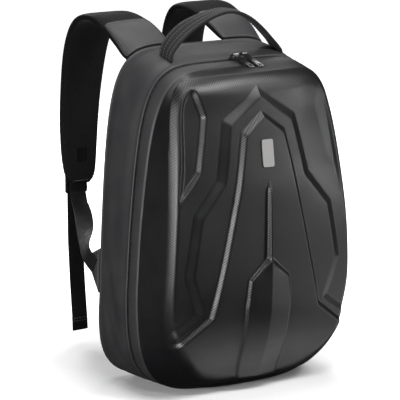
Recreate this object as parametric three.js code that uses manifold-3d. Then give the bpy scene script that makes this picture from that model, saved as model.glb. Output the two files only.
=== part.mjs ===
// Laptop backpack with a moulded front shell, millimetres, +Z up, front towards -Y.
// The origin is on the floor under the middle of the side wall.
import * as THREE from "three";
import Module from "manifold-3d";

const manifoldLibrary = await Module();
manifoldLibrary.setup();

// Body sizes
const BODY_DEPTH = 104;
const EDGE_Y = -BODY_DEPTH / 2;
const BACK_Y = BODY_DEPTH / 2;
const SEAM_GAP = 0.3;
const WALL = 4.5;
const OUTLINE_STEPS = 72;
// Outlines at the shell's edge, at its crest and at the back: half width, heights and roundness.
// The soft left shoulder of the bag is rounder than the right one.
const EDGE_OUTLINE = {
  half: 157, taper: 0.19, top: 438, waist: 175, base: -2, leftPower: 5.1, rightPower: 10, basePower: 4.2,
};
const CREST_OUTLINE = {
  half: 146.5, taper: 0.14, top: 433, waist: 175, base: 5, leftPower: 10.5, rightPower: 8, basePower: 3,
};
const BACK_OUTLINE = {
  half: 156, taper: 0.12, top: 458, waist: 117, base: -2, leftPower: 5.9, rightPower: 8, basePower: 3.9,
};

// Front shell sizes; a wall rises from the edge to the crest, which lies at this share of the way out
const SHELL_WALL = 3.5;
const CREST_SHARE = 0.88;
const CREST_ROUND = 24;
const SHELL_FACE_LIMIT = 0.94;
const SHELL_RINGS = [0.855, 0.88, 0.905, 0.93, 1];
// Depth of the face before the edge, in the middle and at the crest
const SHELL_PROFILE = [
  { z: 431, middle: 52, side: 32 }, { z: 410, middle: 53, side: 42 }, { z: 385, middle: 55, side: 47 },
  { z: 343, middle: 62.5, side: 55 }, { z: 293, middle: 69, side: 62 }, { z: 243, middle: 70, side: 67 },
  { z: 193, middle: 70, side: 68 }, { z: 147, middle: 69, side: 66 }, { z: 112, middle: 66, side: 61 },
  { z: 82, middle: 59, side: 55 }, { z: 63, middle: 52, side: 50 }, { z: 47, middle: 45, side: 46 },
  { z: 31, middle: 38.5, side: 42 }, { z: 15, middle: 36, side: 38 },
];
// Corners of the raised plates: height above the floor and half width
const CHEEK_LINE = [
  { z: 424, half: 101 }, { z: 383, half: 87 }, { z: 313, half: 102 }, { z: 269, half: 140 },
  { z: 240, half: 165 },
];
const SHIELD_LINE = [
  { z: 416, half: 0 }, { z: 376, half: 57 }, { z: 299, half: 72 }, { z: 255, half: 109 },
  { z: 175, half: 124 }, { z: 123, half: 106 }, { z: 95, half: 146 }, { z: 82, half: 165 },
];
const SPEAR_LINE = [
  { z: 387, half: 0 }, { z: 360, half: 35 }, { z: 286, half: 50 }, { z: 190, half: 72 },
  { z: 117, half: 90 }, { z: 77, half: 144 }, { z: 61, half: 165 },
];
const RIB_LINE = [
  { z: 292, half: 0 }, { z: 282, half: 3 }, { z: 189, half: 4 }, { z: 163, half: 33 },
  { z: 124, half: 37 }, { z: 52, half: 36 }, { z: 13, half: 32 },
];
const PLATES = [
  { name: "rib", line: RIB_LINE, bevel: 4, height: 4.5 },
  { name: "spear", line: SPEAR_LINE, bevel: 6.5, height: 6.5 },
  { name: "shield", line: SHIELD_LINE, bevel: 8, height: 5 },
  { name: "cheek", line: CHEEK_LINE, bevel: 6.5, height: 6 },
];
const RIB_RIDGE = 4.5;
const SHELL_ROWS = { low: 24, high: 411, closest: 5, widest: 21 };
const COLUMN_GAP = { wanted: 1.6, least: 0.8 };

// Band, zip and gusset stations along the depth
const GROOVE = { width: 2, depth: 2 };
const ZIP_Y = -26;
const ZIP_WIDTH = 4.6;
const ZIP_RECESS = 1.2;
const ZIP_THICK = 2.4;
const GUSSET_BULGE = { side: 1.5, top: 4, from: 0.3, to: 0.7 };

// Back panel
const PANEL_THICK = 8;
const PANEL_INSET = 1.5;
const PANEL_RINGS = [
  { scale: 1, rise: 4 }, { scale: 0.95, rise: PANEL_THICK },
  { scale: 0.7, rise: 11 }, { scale: 0.35, rise: 12 },
];

// Shoulder strap: a row for each section, drape is how far it follows the curve of the bag's top
const STRAP_ROWS = [
  { y: 53, z: 0, x: 73, width: 66, thick: 8, drape: 1 },
  { y: 61, z: 0, x: 73, width: 69, thick: 10, drape: 1 },
  { y: 82, z: 470, x: 73, width: 71, thick: 11, drape: 0.6 },
  { y: 108, z: 480, x: 73.5, width: 71, thick: 11, drape: 0.25 },
  { y: 134, z: 487, x: 74.5, width: 70, thick: 11, drape: 0 },
  { y: 156, z: 489, x: 76, width: 69.5, thick: 11, drape: 0 },
  { y: 176, z: 485, x: 77.5, width: 69, thick: 11, drape: 0 },
  { y: 192, z: 472, x: 79, width: 68.5, thick: 11, drape: 0 },
  { y: 204, z: 450, x: 80.5, width: 67.5, thick: 11, drape: 0 },
  { y: 212, z: 421, x: 82, width: 65.5, thick: 11, drape: 0 },
  { y: 219, z: 381, x: 83, width: 62, thick: 11, drape: 0 },
  { y: 223, z: 339, x: 84, width: 59, thick: 11, drape: 0 },
  { y: 224, z: 298, x: 84.5, width: 55, thick: 11, drape: 0 },
  { y: 223, z: 270, x: 84.5, width: 50, thick: 10.5, drape: 0 },
  { y: 221.5, z: 252, x: 84.5, width: 42, thick: 9.5, drape: 0 },
  { y: 220.5, z: 243, x: 84.5, width: 27, thick: 8, drape: 0 },
];
const STRAP_COLUMNS = [-1, -0.88, -0.45, 0, 0.45, 0.88, 1];
const STRAP_EDGE_SHARE = 0.62;
const STRAP_SEAT_GAP = 0.7;
// The right strap lies a little further out near its root and its arc stands a little higher
const RIGHT_STRAP = { shift: 10, fadeStart: 60, fadeEnd: 205, lift: 5, liftMiddle: 150, liftReach: 90 };
const PATCH_LAST_Y = 112;
const PATCH_THICK = 1.2;

// Carry handle: a row for each section from its left foot to its right one; height 0 stands on the gusset.
// The soft arch has slipped a little to the right.
const HANDLE_WIDTH = 30;
const HANDLE_THICK = 5;
const HANDLE_COLUMNS = [
  { across: -1, thick: 0.55 }, { across: -0.8, thick: 1 },
  { across: 0.8, thick: 1 }, { across: 1, thick: 0.55 },
];
const HANDLE_ROWS = [
  { x: -77, y: 2, z: 0 }, { x: -76, y: 1, z: 457.5 }, { x: -71.5, y: 0, z: 466 },
  { x: -62, y: -1, z: 476.5 }, { x: -46.5, y: -2, z: 488 }, { x: -28, y: -3, z: 497 },
  { x: -7.5, y: -4, z: 504 }, { x: 13, y: -4, z: 507 }, { x: 32, y: -4, z: 504 },
  { x: 48, y: -3, z: 497.5 }, { x: 60, y: -2, z: 490 }, { x: 73, y: -1, z: 479.5 },
  { x: 86, y: 0, z: 467 }, { x: 96, y: 1, z: 457 }, { x: 103, y: 2, z: 0 },
];

// Buckle, its loop and the webbing
const BUCKLE = { width: 34, length: 30, thick: 5, rail: 3.6, bar: 3.8, corner: 3, middleBar: 1.5 };
const BUCKLE_Z = 241;
const BUCKLE_OFFSET = 11.4;
const STRAP_END = { x: 84.5, y: 221 };
const WEBBING_WIDTH = 25;
const WEBBING_THICK = 1.4;
const BAR_CLEARANCE = 0.35;
// Loop stations: height over the buckle's top bar and how far its middle stands behind the strap's end
const LOOP_ROWS = [
  { rise: 22.9, y: 9.1, leg: "strap" }, { rise: 8, y: 7.9, leg: "strap" },
  { rise: 11, y: 12.5, leg: "back" }, { rise: 18.9, y: 10.8, leg: "back" },
];
// Webbing from the side tab to the buckle; twist is its share of the turn from the tab's plane to level
const WEBBING_ROWS = [
  { x: 0, y: 62, z: 159, twist: 0 }, { x: 0, y: 84, z: 170, twist: 0.05 },
  { x: 152, y: 99, z: 177, twist: 0.2 }, { x: 139, y: 124, z: 185, twist: 0.45 },
  { x: 121, y: 157, z: 195, twist: 0.75 }, { x: 103, y: 189, z: 205, twist: 0.93 },
  { x: 90, y: 214, z: 215, twist: 1 },
];
const WEBBING_PARTS = 3;
const WEBBING_TURN = 6;
// Loose tail below the buckle: how far inwards and how far behind its first row it hangs
const TAIL_ROWS = [
  { inward: 0, behind: 0, z: 208, layers: 1 }, { inward: 1, behind: 1, z: 153, layers: 1 },
  { inward: 3, behind: 0, z: 93, layers: 1 }, { inward: 5, behind: -2, z: 43, layers: 1 },
  { inward: 5, behind: -2, z: 42, layers: 2 }, { inward: 5.5, behind: -2.5, z: 22, layers: 2 },
];

// Side tab: corners in the plane of the side wall
const TAB_THICK = 2.6;
const TAB_CORNERS = [
  { y: 52.5, z: 186 }, { y: 83, z: 171 }, { y: 81, z: 161 }, { y: 52.5, z: 124 },
];
const TAB_GAP = 0.5;
const TAB_ACROSS = { y: 0.45, z: -0.89 };
const TAB_WEBBING = { z: 163, gap: 1.2 };

// Zip sliders and pulls
const SLIDER_X = [15, 30];
const SLIDER = {
  length: 13, width: 8.5, height: 2.6, corner: 2, seat: 0.7,
  postWidth: 1.8, postDepth: 3.4, postInset: 0.4, barHeight: 6.2, bar: 0.9, cap: 0.4,
};
const PULL = {
  length: 46, width: 7.6, thick: 1.7, corner: 2, barrel: 2.2, bore: 1.3, barrelLength: 7.2, drop: 16,
  windowLength: 8, windowRim: 1.7, windowEnd: 2.2, windowCorner: 1,
};

// Plain plate on the shell
const BADGE = { z: 331, halfWidth: 9, halfHeight: 18.5, corner: 3, thick: 1.6, gap: 0.85 };

// Colours and finishes
const FINISH = {
  shell: { color: 0x2b2d30, roughness: 0.55, metalness: 0 },
  smooth: { color: 0x4a4d51, roughness: 0.5, metalness: 0 },
  zip: { color: 0x6d7074, roughness: 0.6, metalness: 0 },
  padding: { color: 0x1c1d1f, roughness: 0.85, metalness: 0 },
  webbing: { color: 0x202124, roughness: 0.8, metalness: 0 },
  plastic: { color: 0x0e0f10, roughness: 0.35, metalness: 0 },
  metal: { color: 0x4d5054, roughness: 0.3, metalness: 0.9 },
};

const group = new THREE.Group();

function addNode(name, geometry, finish) {
  const mesh = new THREE.Mesh(geometry, new THREE.MeshStandardMaterial(FINISH[finish]));
  mesh.name = name;
  group.add(mesh);
}

// Collects corner points and four-sided faces into one closed surface
class Surface {
  constructor() {
    this.points = [];
    this.faces = [];
  }

  point(x, y, z) {
    this.points.push(x, y, z);
    return this.points.length / 3 - 1;
  }

  triangle(a, b, c) {
    this.faces.push(a, b, c);
  }

  quad(a, b, c, d) {
    this.triangle(a, b, c);
    this.triangle(a, c, d);
  }

  corner(index) {
    return new THREE.Vector3().fromArray(this.points, index * 3);
  }

  volume() {
    let sum = 0;
    for (let face = 0; face < this.faces.length; face += 3) {
      const [a, b, c] = this.faces.slice(face, face + 3).map((index) => this.corner(index));
      sum += a.dot(b.cross(c)) / 6;
    }
    return sum;
  }

  // The faces look outwards whichever way round they were listed
  geometry() {
    if (this.volume() < 0) {
      this.faces.reverse();
    }
    const geometry = new THREE.BufferGeometry();
    geometry.setAttribute("position", new THREE.Float32BufferAttribute(this.points, 3));
    geometry.setIndex(this.faces);
    geometry.computeVertexNormals();
    return geometry;
  }
}

function mix(a, b, share) {
  return a + (b - a) * share;
}

function clamp01(value) {
  return Math.min(1, Math.max(0, value));
}

// Value of one column of a table at one height, straight between its rows, top row first
function tableValue(table, column, z) {
  const last = table.length - 1;
  let row = 0;
  while (row < last - 1 && z < table[row + 1].z) {
    row += 1;
  }
  const upper = table[row];
  const lower = table[row + 1];
  const share = (z - lower.z) / (upper.z - lower.z);
  return mix(lower[column], upper[column], share);
}

function lineHalf(line, z) {
  return tableValue(line, "half", z);
}

// Roundness of an outline towards one direction from its waist
function outlinePower(outline, across, up) {
  if (up <= 0) {
    return outline.basePower;
  }
  return across < 0 ? outline.leftPower : outline.rightPower;
}

// Point in the X-Z plane towards one direction, at a share of the way out to the outline
function outlinePoint(outline, angle, out = 1) {
  const across = Math.cos(angle);
  const rise = Math.sin(angle);
  const power = outlinePower(outline, across, rise);
  const radius = out * (Math.abs(across) ** power + Math.abs(rise) ** power) ** (-1 / power);
  const up = radius * rise;
  const x = outline.half * radius * across * (1 - outline.taper * Math.max(0, up));
  const z = outline.waist + up * (up > 0 ? outline.top - outline.waist : outline.waist - outline.base);
  return { x, z };
}

function bodyPoint(y, angle) {
  const share = (y - EDGE_Y) / BODY_DEPTH;
  const front = outlinePoint(EDGE_OUTLINE, angle);
  const back = outlinePoint(BACK_OUTLINE, angle);
  return { x: mix(front.x, back.x, share), z: mix(front.z, back.z, share) };
}

// Outline at one depth, moved inwards by an inset and flattened where it stands on the floor
function insetPoint(y, angle, inset) {
  const step = 0.002;
  const here = bodyPoint(y, angle);
  const before = bodyPoint(y, angle - step);
  const after = bodyPoint(y, angle + step);
  const along = { x: after.x - before.x, z: after.z - before.z };
  const length = Math.hypot(along.x, along.z);
  const x = here.x - (along.z / length) * inset;
  const z = here.z + (along.x / length) * inset;
  return { x, z: Math.max(z, Math.max(0, inset)) };
}

// Height of the body's top over one point of the plan
function outlineTop(outline, x) {
  const power = outlinePower(outline, x, 1);
  let up = 1;
  for (let pass = 0; pass < 20; pass += 1) {
    const across = Math.min(1, Math.abs(x) / (outline.half * (1 - outline.taper * up)));
    up = (1 - across ** power) ** (1 / power);
  }
  return outline.waist + up * (outline.top - outline.waist);
}

function bodyTop(x, y) {
  const share = clamp01((y - EDGE_Y) / BODY_DEPTH);
  return mix(outlineTop(EDGE_OUTLINE, x), outlineTop(BACK_OUTLINE, x), share);
}

// Closed ring round the body; its section at one angle is a loop of depths and insets
function bodyRing(sectionAt) {
  const surface = new Surface();
  const rows = [];
  for (let step = 0; step < OUTLINE_STEPS; step += 1) {
    const angle = (step / OUTLINE_STEPS) * Math.PI * 2;
    rows.push(sectionAt(angle).map((corner) => {
      const spot = insetPoint(corner.y, angle, corner.inset);
      return surface.point(spot.x, corner.y, spot.z);
    }));
  }
  for (let step = 0; step < OUTLINE_STEPS; step += 1) {
    const here = rows[step];
    const next = rows[(step + 1) % OUTLINE_STEPS];
    for (let corner = 0; corner < here.length; corner += 1) {
      const following = (corner + 1) % here.length;
      const face = [here[corner], next[corner], next[following], here[following]];
      if (corner === 0) {
        face.push(face.shift());
      }
      surface.quad(...face);
    }
  }
  return surface.geometry();
}

const gussetFront = ZIP_Y + ZIP_WIDTH / 2 + SEAM_GAP;
const gussetBack = BACK_Y - SEAM_GAP;

// The side wall swells a little all round and more over the top
function gussetBulge(angle) {
  return mix(GUSSET_BULGE.side, GUSSET_BULGE.top, Math.max(0, Math.sin(angle)) ** 4);
}

// Height of the gusset's top over one point of the plan
function gussetTop(x, y) {
  const share = clamp01((y - gussetFront) / (gussetBack - gussetFront));
  const swell = Math.min(1, share / GUSSET_BULGE.from, (1 - share) / (1 - GUSSET_BULGE.to));
  return bodyTop(x, y) + GUSSET_BULGE.top * swell;
}

function buildBandZipAndGusset() {
  const zipFront = ZIP_Y - ZIP_WIDTH / 2;
  const zipBack = ZIP_Y + ZIP_WIDTH / 2;
  addNode("lid_band", bodyRing(() => [
    { y: EDGE_Y, inset: WALL },
    { y: zipFront - SEAM_GAP, inset: WALL },
    { y: zipFront - SEAM_GAP, inset: 0 },
    { y: EDGE_Y + GROOVE.width + 1, inset: 0 },
    { y: EDGE_Y + GROOVE.width, inset: GROOVE.depth },
    { y: EDGE_Y, inset: GROOVE.depth },
  ]), "smooth");
  addNode("zip_track", bodyRing(() => [
    { y: zipFront, inset: ZIP_RECESS + ZIP_THICK },
    { y: zipBack, inset: ZIP_RECESS + ZIP_THICK },
    { y: zipBack, inset: ZIP_RECESS },
    { y: zipFront, inset: ZIP_RECESS },
  ]), "zip");
  addNode("gusset", bodyRing((angle) => [
    { y: gussetFront, inset: WALL },
    { y: gussetBack, inset: WALL },
    { y: gussetBack, inset: 0 },
    { y: mix(gussetFront, gussetBack, GUSSET_BULGE.to), inset: -gussetBulge(angle) },
    { y: mix(gussetFront, gussetBack, GUSSET_BULGE.from), inset: -gussetBulge(angle) },
    { y: gussetFront, inset: 0 },
  ]), "smooth");
}

// How far out a point of the shell's face lies, 1 on its crest, and its direction
function shellPlace(x, z) {
  const outline = CREST_OUTLINE;
  const above = z > outline.waist;
  const up = (z - outline.waist) / (above ? outline.top - outline.waist : outline.waist - outline.base);
  const across = x / (outline.half * (1 - outline.taper * Math.max(0, up)));
  const power = outlinePower(outline, across, up);
  const out = (Math.abs(across) ** power + Math.abs(up) ** power) ** (1 / power);
  return { out, angle: Math.atan2(up, across), up };
}

// Depth of the shell's face without its plates
function faceDepth(x, z) {
  const { waist, top, half, taper } = CREST_OUTLINE;
  const low = SHELL_PROFILE[SHELL_PROFILE.length - 1].z;
  const height = Math.min(SHELL_PROFILE[0].z, Math.max(low, z));
  const middle = tableValue(SHELL_PROFILE, "middle", height);
  const side = tableValue(SHELL_PROFILE, "side", height);
  const reach = half * (1 - taper * clamp01((z - waist) / (top - waist)));
  return mix(middle, side, (x / reach) ** 2);
}

// The lesser of two depths, rounded where they cross
function smoothLeast(first, second) {
  const near = Math.max(CREST_ROUND - Math.abs(first - second), 0) / CREST_ROUND;
  return Math.min(first, second) - (near * near * CREST_ROUND) / 4;
}

// A point of the shell by its direction and its share of the way out to the edge, with its depth
function shellSpot(angle, out) {
  const face = outlinePoint(CREST_OUTLINE, angle, Math.min(1, out / CREST_SHARE));
  const crest = outlinePoint(CREST_OUTLINE, angle);
  const edge = outlinePoint(EDGE_OUTLINE, angle);
  const wall = (faceDepth(crest.x, crest.z) * (1 - out)) / (1 - CREST_SHARE);
  const depth = smoothLeast(wall, faceDepth(face.x, face.z) + shellRelief(face.x, face.z));
  const share = clamp01((out - CREST_SHARE) / (1 - CREST_SHARE));
  return { x: mix(face.x, edge.x, share), z: mix(face.z, edge.z, share), depth };
}

function shellDepth(x, z) {
  const place = shellPlace(x, z);
  return shellSpot(place.angle, place.out * CREST_SHARE).depth;
}

// Height of the raised plates, from the soft bevel along each plate's line
function shellRelief(x, z) {
  let relief = 0;
  for (const plate of PLATES) {
    const inside = lineHalf(plate.line, z) - Math.abs(x);
    const share = clamp01(inside / plate.bevel);
    relief += plate.height * (plate.name === "cheek" ? share - 1 : share);
  }
  const ribHalf = lineHalf(RIB_LINE, z);
  if (ribHalf > 0) {
    relief += RIB_RIDGE * clamp01((ribHalf - Math.abs(x)) / ribHalf) * clamp01(ribHalf / RIB_RIDGE);
  }
  return relief;
}

// Half width of the shell's face at one height and side, out to where it falls away to the crest
function shellFaceHalf(z, side) {
  const { half, taper } = CREST_OUTLINE;
  const up = shellPlace(0, z).up;
  const power = outlinePower(CREST_OUTLINE, side, up);
  const across = Math.max(0, SHELL_FACE_LIMIT ** power - Math.abs(up) ** power) ** (1 / power);
  return across * half * (1 - taper * Math.max(0, up));
}

// Heights of the face's rows: one at every corner of a plate, and more where two lie far apart
function shellRows() {
  const corners = PLATES.flatMap((plate) => plate.line.map((corner) => corner.z));
  const inside = corners.filter((z) => z > SHELL_ROWS.low && z < SHELL_ROWS.high - SHELL_ROWS.closest);
  const rows = [SHELL_ROWS.low];
  for (const z of [...inside, SHELL_ROWS.high].sort((a, b) => a - b)) {
    const last = rows[rows.length - 1];
    const parts = Math.ceil((z - last) / SHELL_ROWS.widest);
    for (let part = 1; part <= parts && z - last >= SHELL_ROWS.closest; part += 1) {
      rows.push(mix(last, z, part / parts));
    }
  }
  return rows;
}

// Half widths of the face's columns at one height: both lines of every bevel, then the face's edge
function shellColumns(z, side) {
  const faceHalf = shellFaceHalf(z, side);
  const wanted = [];
  for (const plate of PLATES) {
    const half = lineHalf(plate.line, z);
    wanted.push(half - plate.bevel, half);
  }
  wanted.push(faceHalf);
  const columns = [0];
  wanted.forEach((half, index) => {
    const room = faceHalf - COLUMN_GAP.wanted * (wanted.length - 1 - index);
    columns.push(Math.max(columns[index] + COLUMN_GAP.least, Math.min(half, room)));
  });
  return columns;
}

// Places along the border of a grid, once round
function gridBorder(rowCount, columnCount) {
  const lastRow = rowCount - 1;
  const lastColumn = columnCount - 1;
  const across = [...Array(lastColumn).keys()];
  const along = [...Array(lastRow).keys()];
  return [
    ...across.map((step) => [0, step]),
    ...along.map((step) => [step, lastColumn]),
    ...across.map((step) => [lastRow, lastColumn - step]),
    ...along.map((step) => [lastRow - step, 0]),
  ];
}

// One skin of the shell: its face as rows and columns, then rings over the crest and down to the edge
function shellSkin(surface, thinner) {
  const sideShare = 1 - thinner / EDGE_OUTLINE.half;
  const riseShare = 1 - thinner / (EDGE_OUTLINE.top - EDGE_OUTLINE.waist);
  const depthShare = 1 - thinner / faceDepth(0, EDGE_OUTLINE.waist);
  const place = (spot) => surface.point(
    spot.x * sideShare,
    EDGE_Y - SEAM_GAP - spot.depth * depthShare,
    Math.max(thinner, EDGE_OUTLINE.waist + (spot.z - EDGE_OUTLINE.waist) * riseShare),
  );
  const spots = shellRows().map((z) => {
    const right = shellColumns(z, 1).map((x) => ({ x, z }));
    const left = shellColumns(z, -1).slice(1).reverse().map((x) => ({ x: -x, z }));
    return [...left, ...right].map((spot) => ({ ...spot, depth: shellDepth(spot.x, spot.z) }));
  });
  const face = spots.map((row) => row.map(place));
  const rowCount = face.length;
  const columnCount = face[0].length;
  const quads = [];
  for (let row = 0; row + 1 < rowCount; row += 1) {
    for (let column = 0; column + 1 < columnCount; column += 1) {
      const low = face[row];
      const high = face[row + 1];
      quads.push([low[column], low[column + 1], high[column + 1], high[column]]);
    }
  }
  const border = gridBorder(rowCount, columnCount);
  let inner = border.map(([row, column]) => face[row][column]);
  const angles = border.map(([row, column]) => shellPlace(spots[row][column].x, spots[row][column].z).angle);
  for (const ring of SHELL_RINGS) {
    const outer = angles.map((angle) => place(shellSpot(angle, ring)));
    inner.forEach((corner, index) => {
      const next = (index + 1) % inner.length;
      quads.push([corner, outer[index], outer[next], inner[next]]);
    });
    inner = outer;
  }
  return { quads, rim: inner };
}

function buildShell() {
  const surface = new Surface();
  const outside = shellSkin(surface, 0);
  const inside = shellSkin(surface, SHELL_WALL);
  outside.quads.forEach(([a, b, c, d]) => surface.quad(a, b, c, d));
  inside.quads.forEach(([a, b, c, d]) => surface.quad(d, c, b, a));
  outside.rim.forEach((corner, index) => {
    const next = (index + 1) % outside.rim.length;
    surface.quad(corner, inside.rim[index], inside.rim[next], outside.rim[next]);
  });
  addNode("front_shell", surface.geometry(), "shell");
}

function buildBackPanel() {
  const surface = new Surface();
  const loop = (scale, y) => {
    const corners = [];
    for (let step = 0; step < OUTLINE_STEPS; step += 1) {
      const angle = (step / OUTLINE_STEPS) * Math.PI * 2;
      const spot = insetPoint(BACK_Y, angle, PANEL_INSET);
      const middle = BACK_OUTLINE.top / 2;
      const z = middle + (spot.z - middle) * scale;
      corners.push(surface.point(spot.x * scale, y, z));
    }
    return corners;
  };
  const join = (near, far) => near.forEach((corner, index) => {
    const next = (index + 1) % near.length;
    surface.quad(corner, far[index], far[next], near[next]);
  });
  const front = loop(1, BACK_Y);
  const rings = PANEL_RINGS.map((ring) => loop(ring.scale, BACK_Y + ring.rise));
  join(front, rings[0]);
  for (let ring = 0; ring + 1 < rings.length; ring += 1) {
    join(rings[ring], rings[ring + 1]);
  }
  const middle = BACK_OUTLINE.top / 2;
  const frontMiddle = surface.point(0, BACK_Y, middle);
  const last = rings[rings.length - 1];
  const backMiddle = surface.point(0, BACK_Y + PANEL_RINGS[PANEL_RINGS.length - 1].rise, middle);
  front.forEach((corner, index) => {
    const next = (index + 1) % front.length;
    surface.triangle(corner, front[next], frontMiddle);
    surface.triangle(last[index], backMiddle, last[next]);
  });
  addNode("back_panel", surface.geometry(), "padding");
}

// Closed tube through a list of sections, each a loop of points listed the same way round.
// Facing sides are split along the same diagonal, so a thin band keeps its thickness where it twists.
function sweptSolid(sections) {
  const surface = new Surface();
  const loops = sections.map((section) => section.map((spot) => surface.point(spot.x, spot.y, spot.z)));
  const size = loops[0].length;
  for (let row = 0; row + 1 < loops.length; row += 1) {
    for (let corner = 0; corner < size; corner += 1) {
      const next = (corner + 1) % size;
      const face = [loops[row][corner], loops[row][next], loops[row + 1][next], loops[row + 1][corner]];
      if (corner >= size / 2) {
        face.push(face.shift());
      }
      surface.quad(...face);
    }
  }
  closeEnd(surface, loops[0], true);
  closeEnd(surface, loops[loops.length - 1], false);
  return surface.geometry();
}

// An end is closed by strips between the facing halves of its loop
function closeEnd(surface, loop, first) {
  const size = loop.length;
  const half = size / 2;
  for (let corner = 0; corner + 1 < half; corner += 1) {
    const corners = [loop[corner], loop[corner + 1], loop[size - 2 - corner], loop[size - 1 - corner]];
    if (first) {
      corners.reverse();
    }
    surface.quad(...corners);
  }
}

// Middle of a row of the strap, sideways
function strapMiddle(side, row) {
  const { shift, fadeStart, fadeEnd } = RIGHT_STRAP;
  const out = side > 0 ? shift * clamp01((fadeEnd - row.y) / (fadeEnd - fadeStart)) : 0;
  return row.x + out;
}

// Height of a row of the strap, which starts on the back panel's top edge
function strapHeight(side, row) {
  const { lift, liftMiddle, liftReach } = RIGHT_STRAP;
  const raised = side > 0 ? lift * Math.max(0, 1 - ((row.y - liftMiddle) / liftReach) ** 2) : 0;
  const top = outlineTop(BACK_OUTLINE, side * strapMiddle(side, row));
  return row.z > 0 ? row.z + raised : top - PANEL_INSET + STRAP_SEAT_GAP + row.thick / 2;
}

function strapRowAt(side, place) {
  const index = Math.min(STRAP_ROWS.length - 2, Math.floor(place));
  const share = place - index;
  const from = STRAP_ROWS[index];
  const to = STRAP_ROWS[index + 1];
  return {
    y: mix(from.y, to.y, share),
    z: mix(strapHeight(side, from), strapHeight(side, to), share),
    x: mix(strapMiddle(side, from), strapMiddle(side, to), share),
    width: mix(from.width, to.width, share),
    thick: mix(from.thick, to.thick, share),
    drape: mix(from.drape, to.drape, share),
  };
}

function strapDirection(side, place) {
  const before = strapRowAt(side, Math.max(0, place - 0.5));
  const after = strapRowAt(side, Math.min(STRAP_ROWS.length - 1, place + 0.5));
  const length = Math.hypot(after.y - before.y, after.z - before.z);
  return { y: (after.y - before.y) / length, z: (after.z - before.z) / length };
}

// A point of the strap: its place along, its column across and its height over the middle of the padding
function strapPoint(side, place, column, height) {
  const row = strapRowAt(side, place);
  const along = strapDirection(side, place);
  const x = row.x + (column * row.width) / 2;
  const curve = (outlineTop(BACK_OUTLINE, side * x) - outlineTop(BACK_OUTLINE, side * row.x)) * row.drape;
  return { x: side * x, y: row.y - along.z * height, z: row.z + along.y * height + curve };
}

function strapSection(side, place) {
  const thick = strapRowAt(side, place).thick;
  const edge = (column) => (Math.abs(column) === 1 ? STRAP_EDGE_SHARE : 1);
  const outer = STRAP_COLUMNS.map((column) => strapPoint(side, place, column, (edge(column) * thick) / 2));
  const inner = STRAP_COLUMNS.map((column) => strapPoint(side, place, column, (-edge(column) * thick) / 2));
  return [...outer, ...inner.reverse()];
}

function patchLastPlace() {
  let index = 0;
  while (STRAP_ROWS[index + 1].y < PATCH_LAST_Y) {
    index += 1;
  }
  const from = STRAP_ROWS[index];
  const to = STRAP_ROWS[index + 1];
  return index + (PATCH_LAST_Y - from.y) / (to.y - from.y);
}

function patchSection(side, place) {
  const base = strapRowAt(side, place).thick / 2 + SEAM_GAP;
  const inside = STRAP_COLUMNS.slice(1, -1);
  const outer = inside.map((column) => strapPoint(side, place, column, base + PATCH_THICK));
  const inner = inside.map((column) => strapPoint(side, place, column, base));
  return [...inner, ...outer.reverse()];
}

function buildStrap(side, label) {
  const sections = STRAP_ROWS.map((row, index) => strapSection(side, index));
  addNode(`strap_${label}`, sweptSolid(sections), "padding");
  const last = patchLastPlace();
  const patch = [0];
  for (let row = 1; row < last; row += 1) {
    patch.push(row);
  }
  patch.push(last);
  addNode(`strap_patch_${label}`, sweptSolid(patch.map((place) => patchSection(side, place))), "smooth");
}

function buildHandle() {
  const seated = HANDLE_ROWS.map((row) => ({ x: row.x, z: row.z > 0 ? row.z : gussetTop(row.x, row.y) }));
  const sections = HANDLE_ROWS.map((row, index) => {
    const before = seated[Math.max(0, index - 1)];
    const after = seated[Math.min(HANDLE_ROWS.length - 1, index + 1)];
    const length = Math.hypot(after.x - before.x, after.z - before.z);
    const out = { x: -(after.z - before.z) / length, z: (after.x - before.x) / length };
    const corner = (column, face) => {
      const height = (face * column.thick * HANDLE_THICK) / 2;
      const x = row.x + out.x * height;
      const y = row.y + (column.across * HANDLE_WIDTH) / 2;
      return { x, y, z: row.z > 0 ? row.z + out.z * height : gussetTop(x, y) + SEAM_GAP };
    };
    const outer = HANDLE_COLUMNS.map((column) => corner(column, 1));
    const inner = HANDLE_COLUMNS.map((column) => corner(column, -1));
    return [...outer, ...inner.reverse()];
  });
  addNode("handle", sweptSolid(sections), "smooth");
}

// Flat band along a path; every row has its middle, the way its width runs and its face direction
function bandSolid(rows, width, thick) {
  const sections = rows.map((row) => {
    const corner = (across, height) => new THREE.Vector3()
      .copy(row.middle)
      .addScaledVector(row.across, (across * width) / 2)
      .addScaledVector(row.face, (height * thick * row.layers) / 2);
    return [corner(-1, 1), corner(1, 1), corner(1, -1), corner(-1, -1)];
  });
  return sweptSolid(sections);
}

// Rows of a band whose path lies along given middles, with the width direction stated at each
function bandRows(stations) {
  return stations.map((station, index) => {
    const before = stations[Math.max(0, index - 1)].middle;
    const after = stations[Math.min(stations.length - 1, index + 1)].middle;
    const along = new THREE.Vector3().subVectors(after, before).normalize();
    const across = station.across.clone().addScaledVector(along, -station.across.dot(along)).normalize();
    const face = new THREE.Vector3().crossVectors(across, along).normalize();
    return { middle: station.middle, across, face, layers: station.layers ?? 1 };
  });
}

// Half circle of band stations over a bar that runs along X
function turnOverBar(bar, radius, from, to) {
  const stations = [];
  for (let step = 0; step <= WEBBING_TURN; step += 1) {
    const angle = mix(from, to, step / WEBBING_TURN);
    stations.push({
      middle: new THREE.Vector3(bar.x, bar.y + radius * Math.cos(angle), bar.z + radius * Math.sin(angle)),
      across: new THREE.Vector3(1, 0, 0),
    });
  }
  return stations;
}

function buckleBars() {
  const reach = BUCKLE.length / 2 - BUCKLE.bar / 2;
  return { top: BUCKLE_Z + reach, middle: BUCKLE_Z + BUCKLE.middleBar, base: BUCKLE_Z - reach };
}

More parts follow.
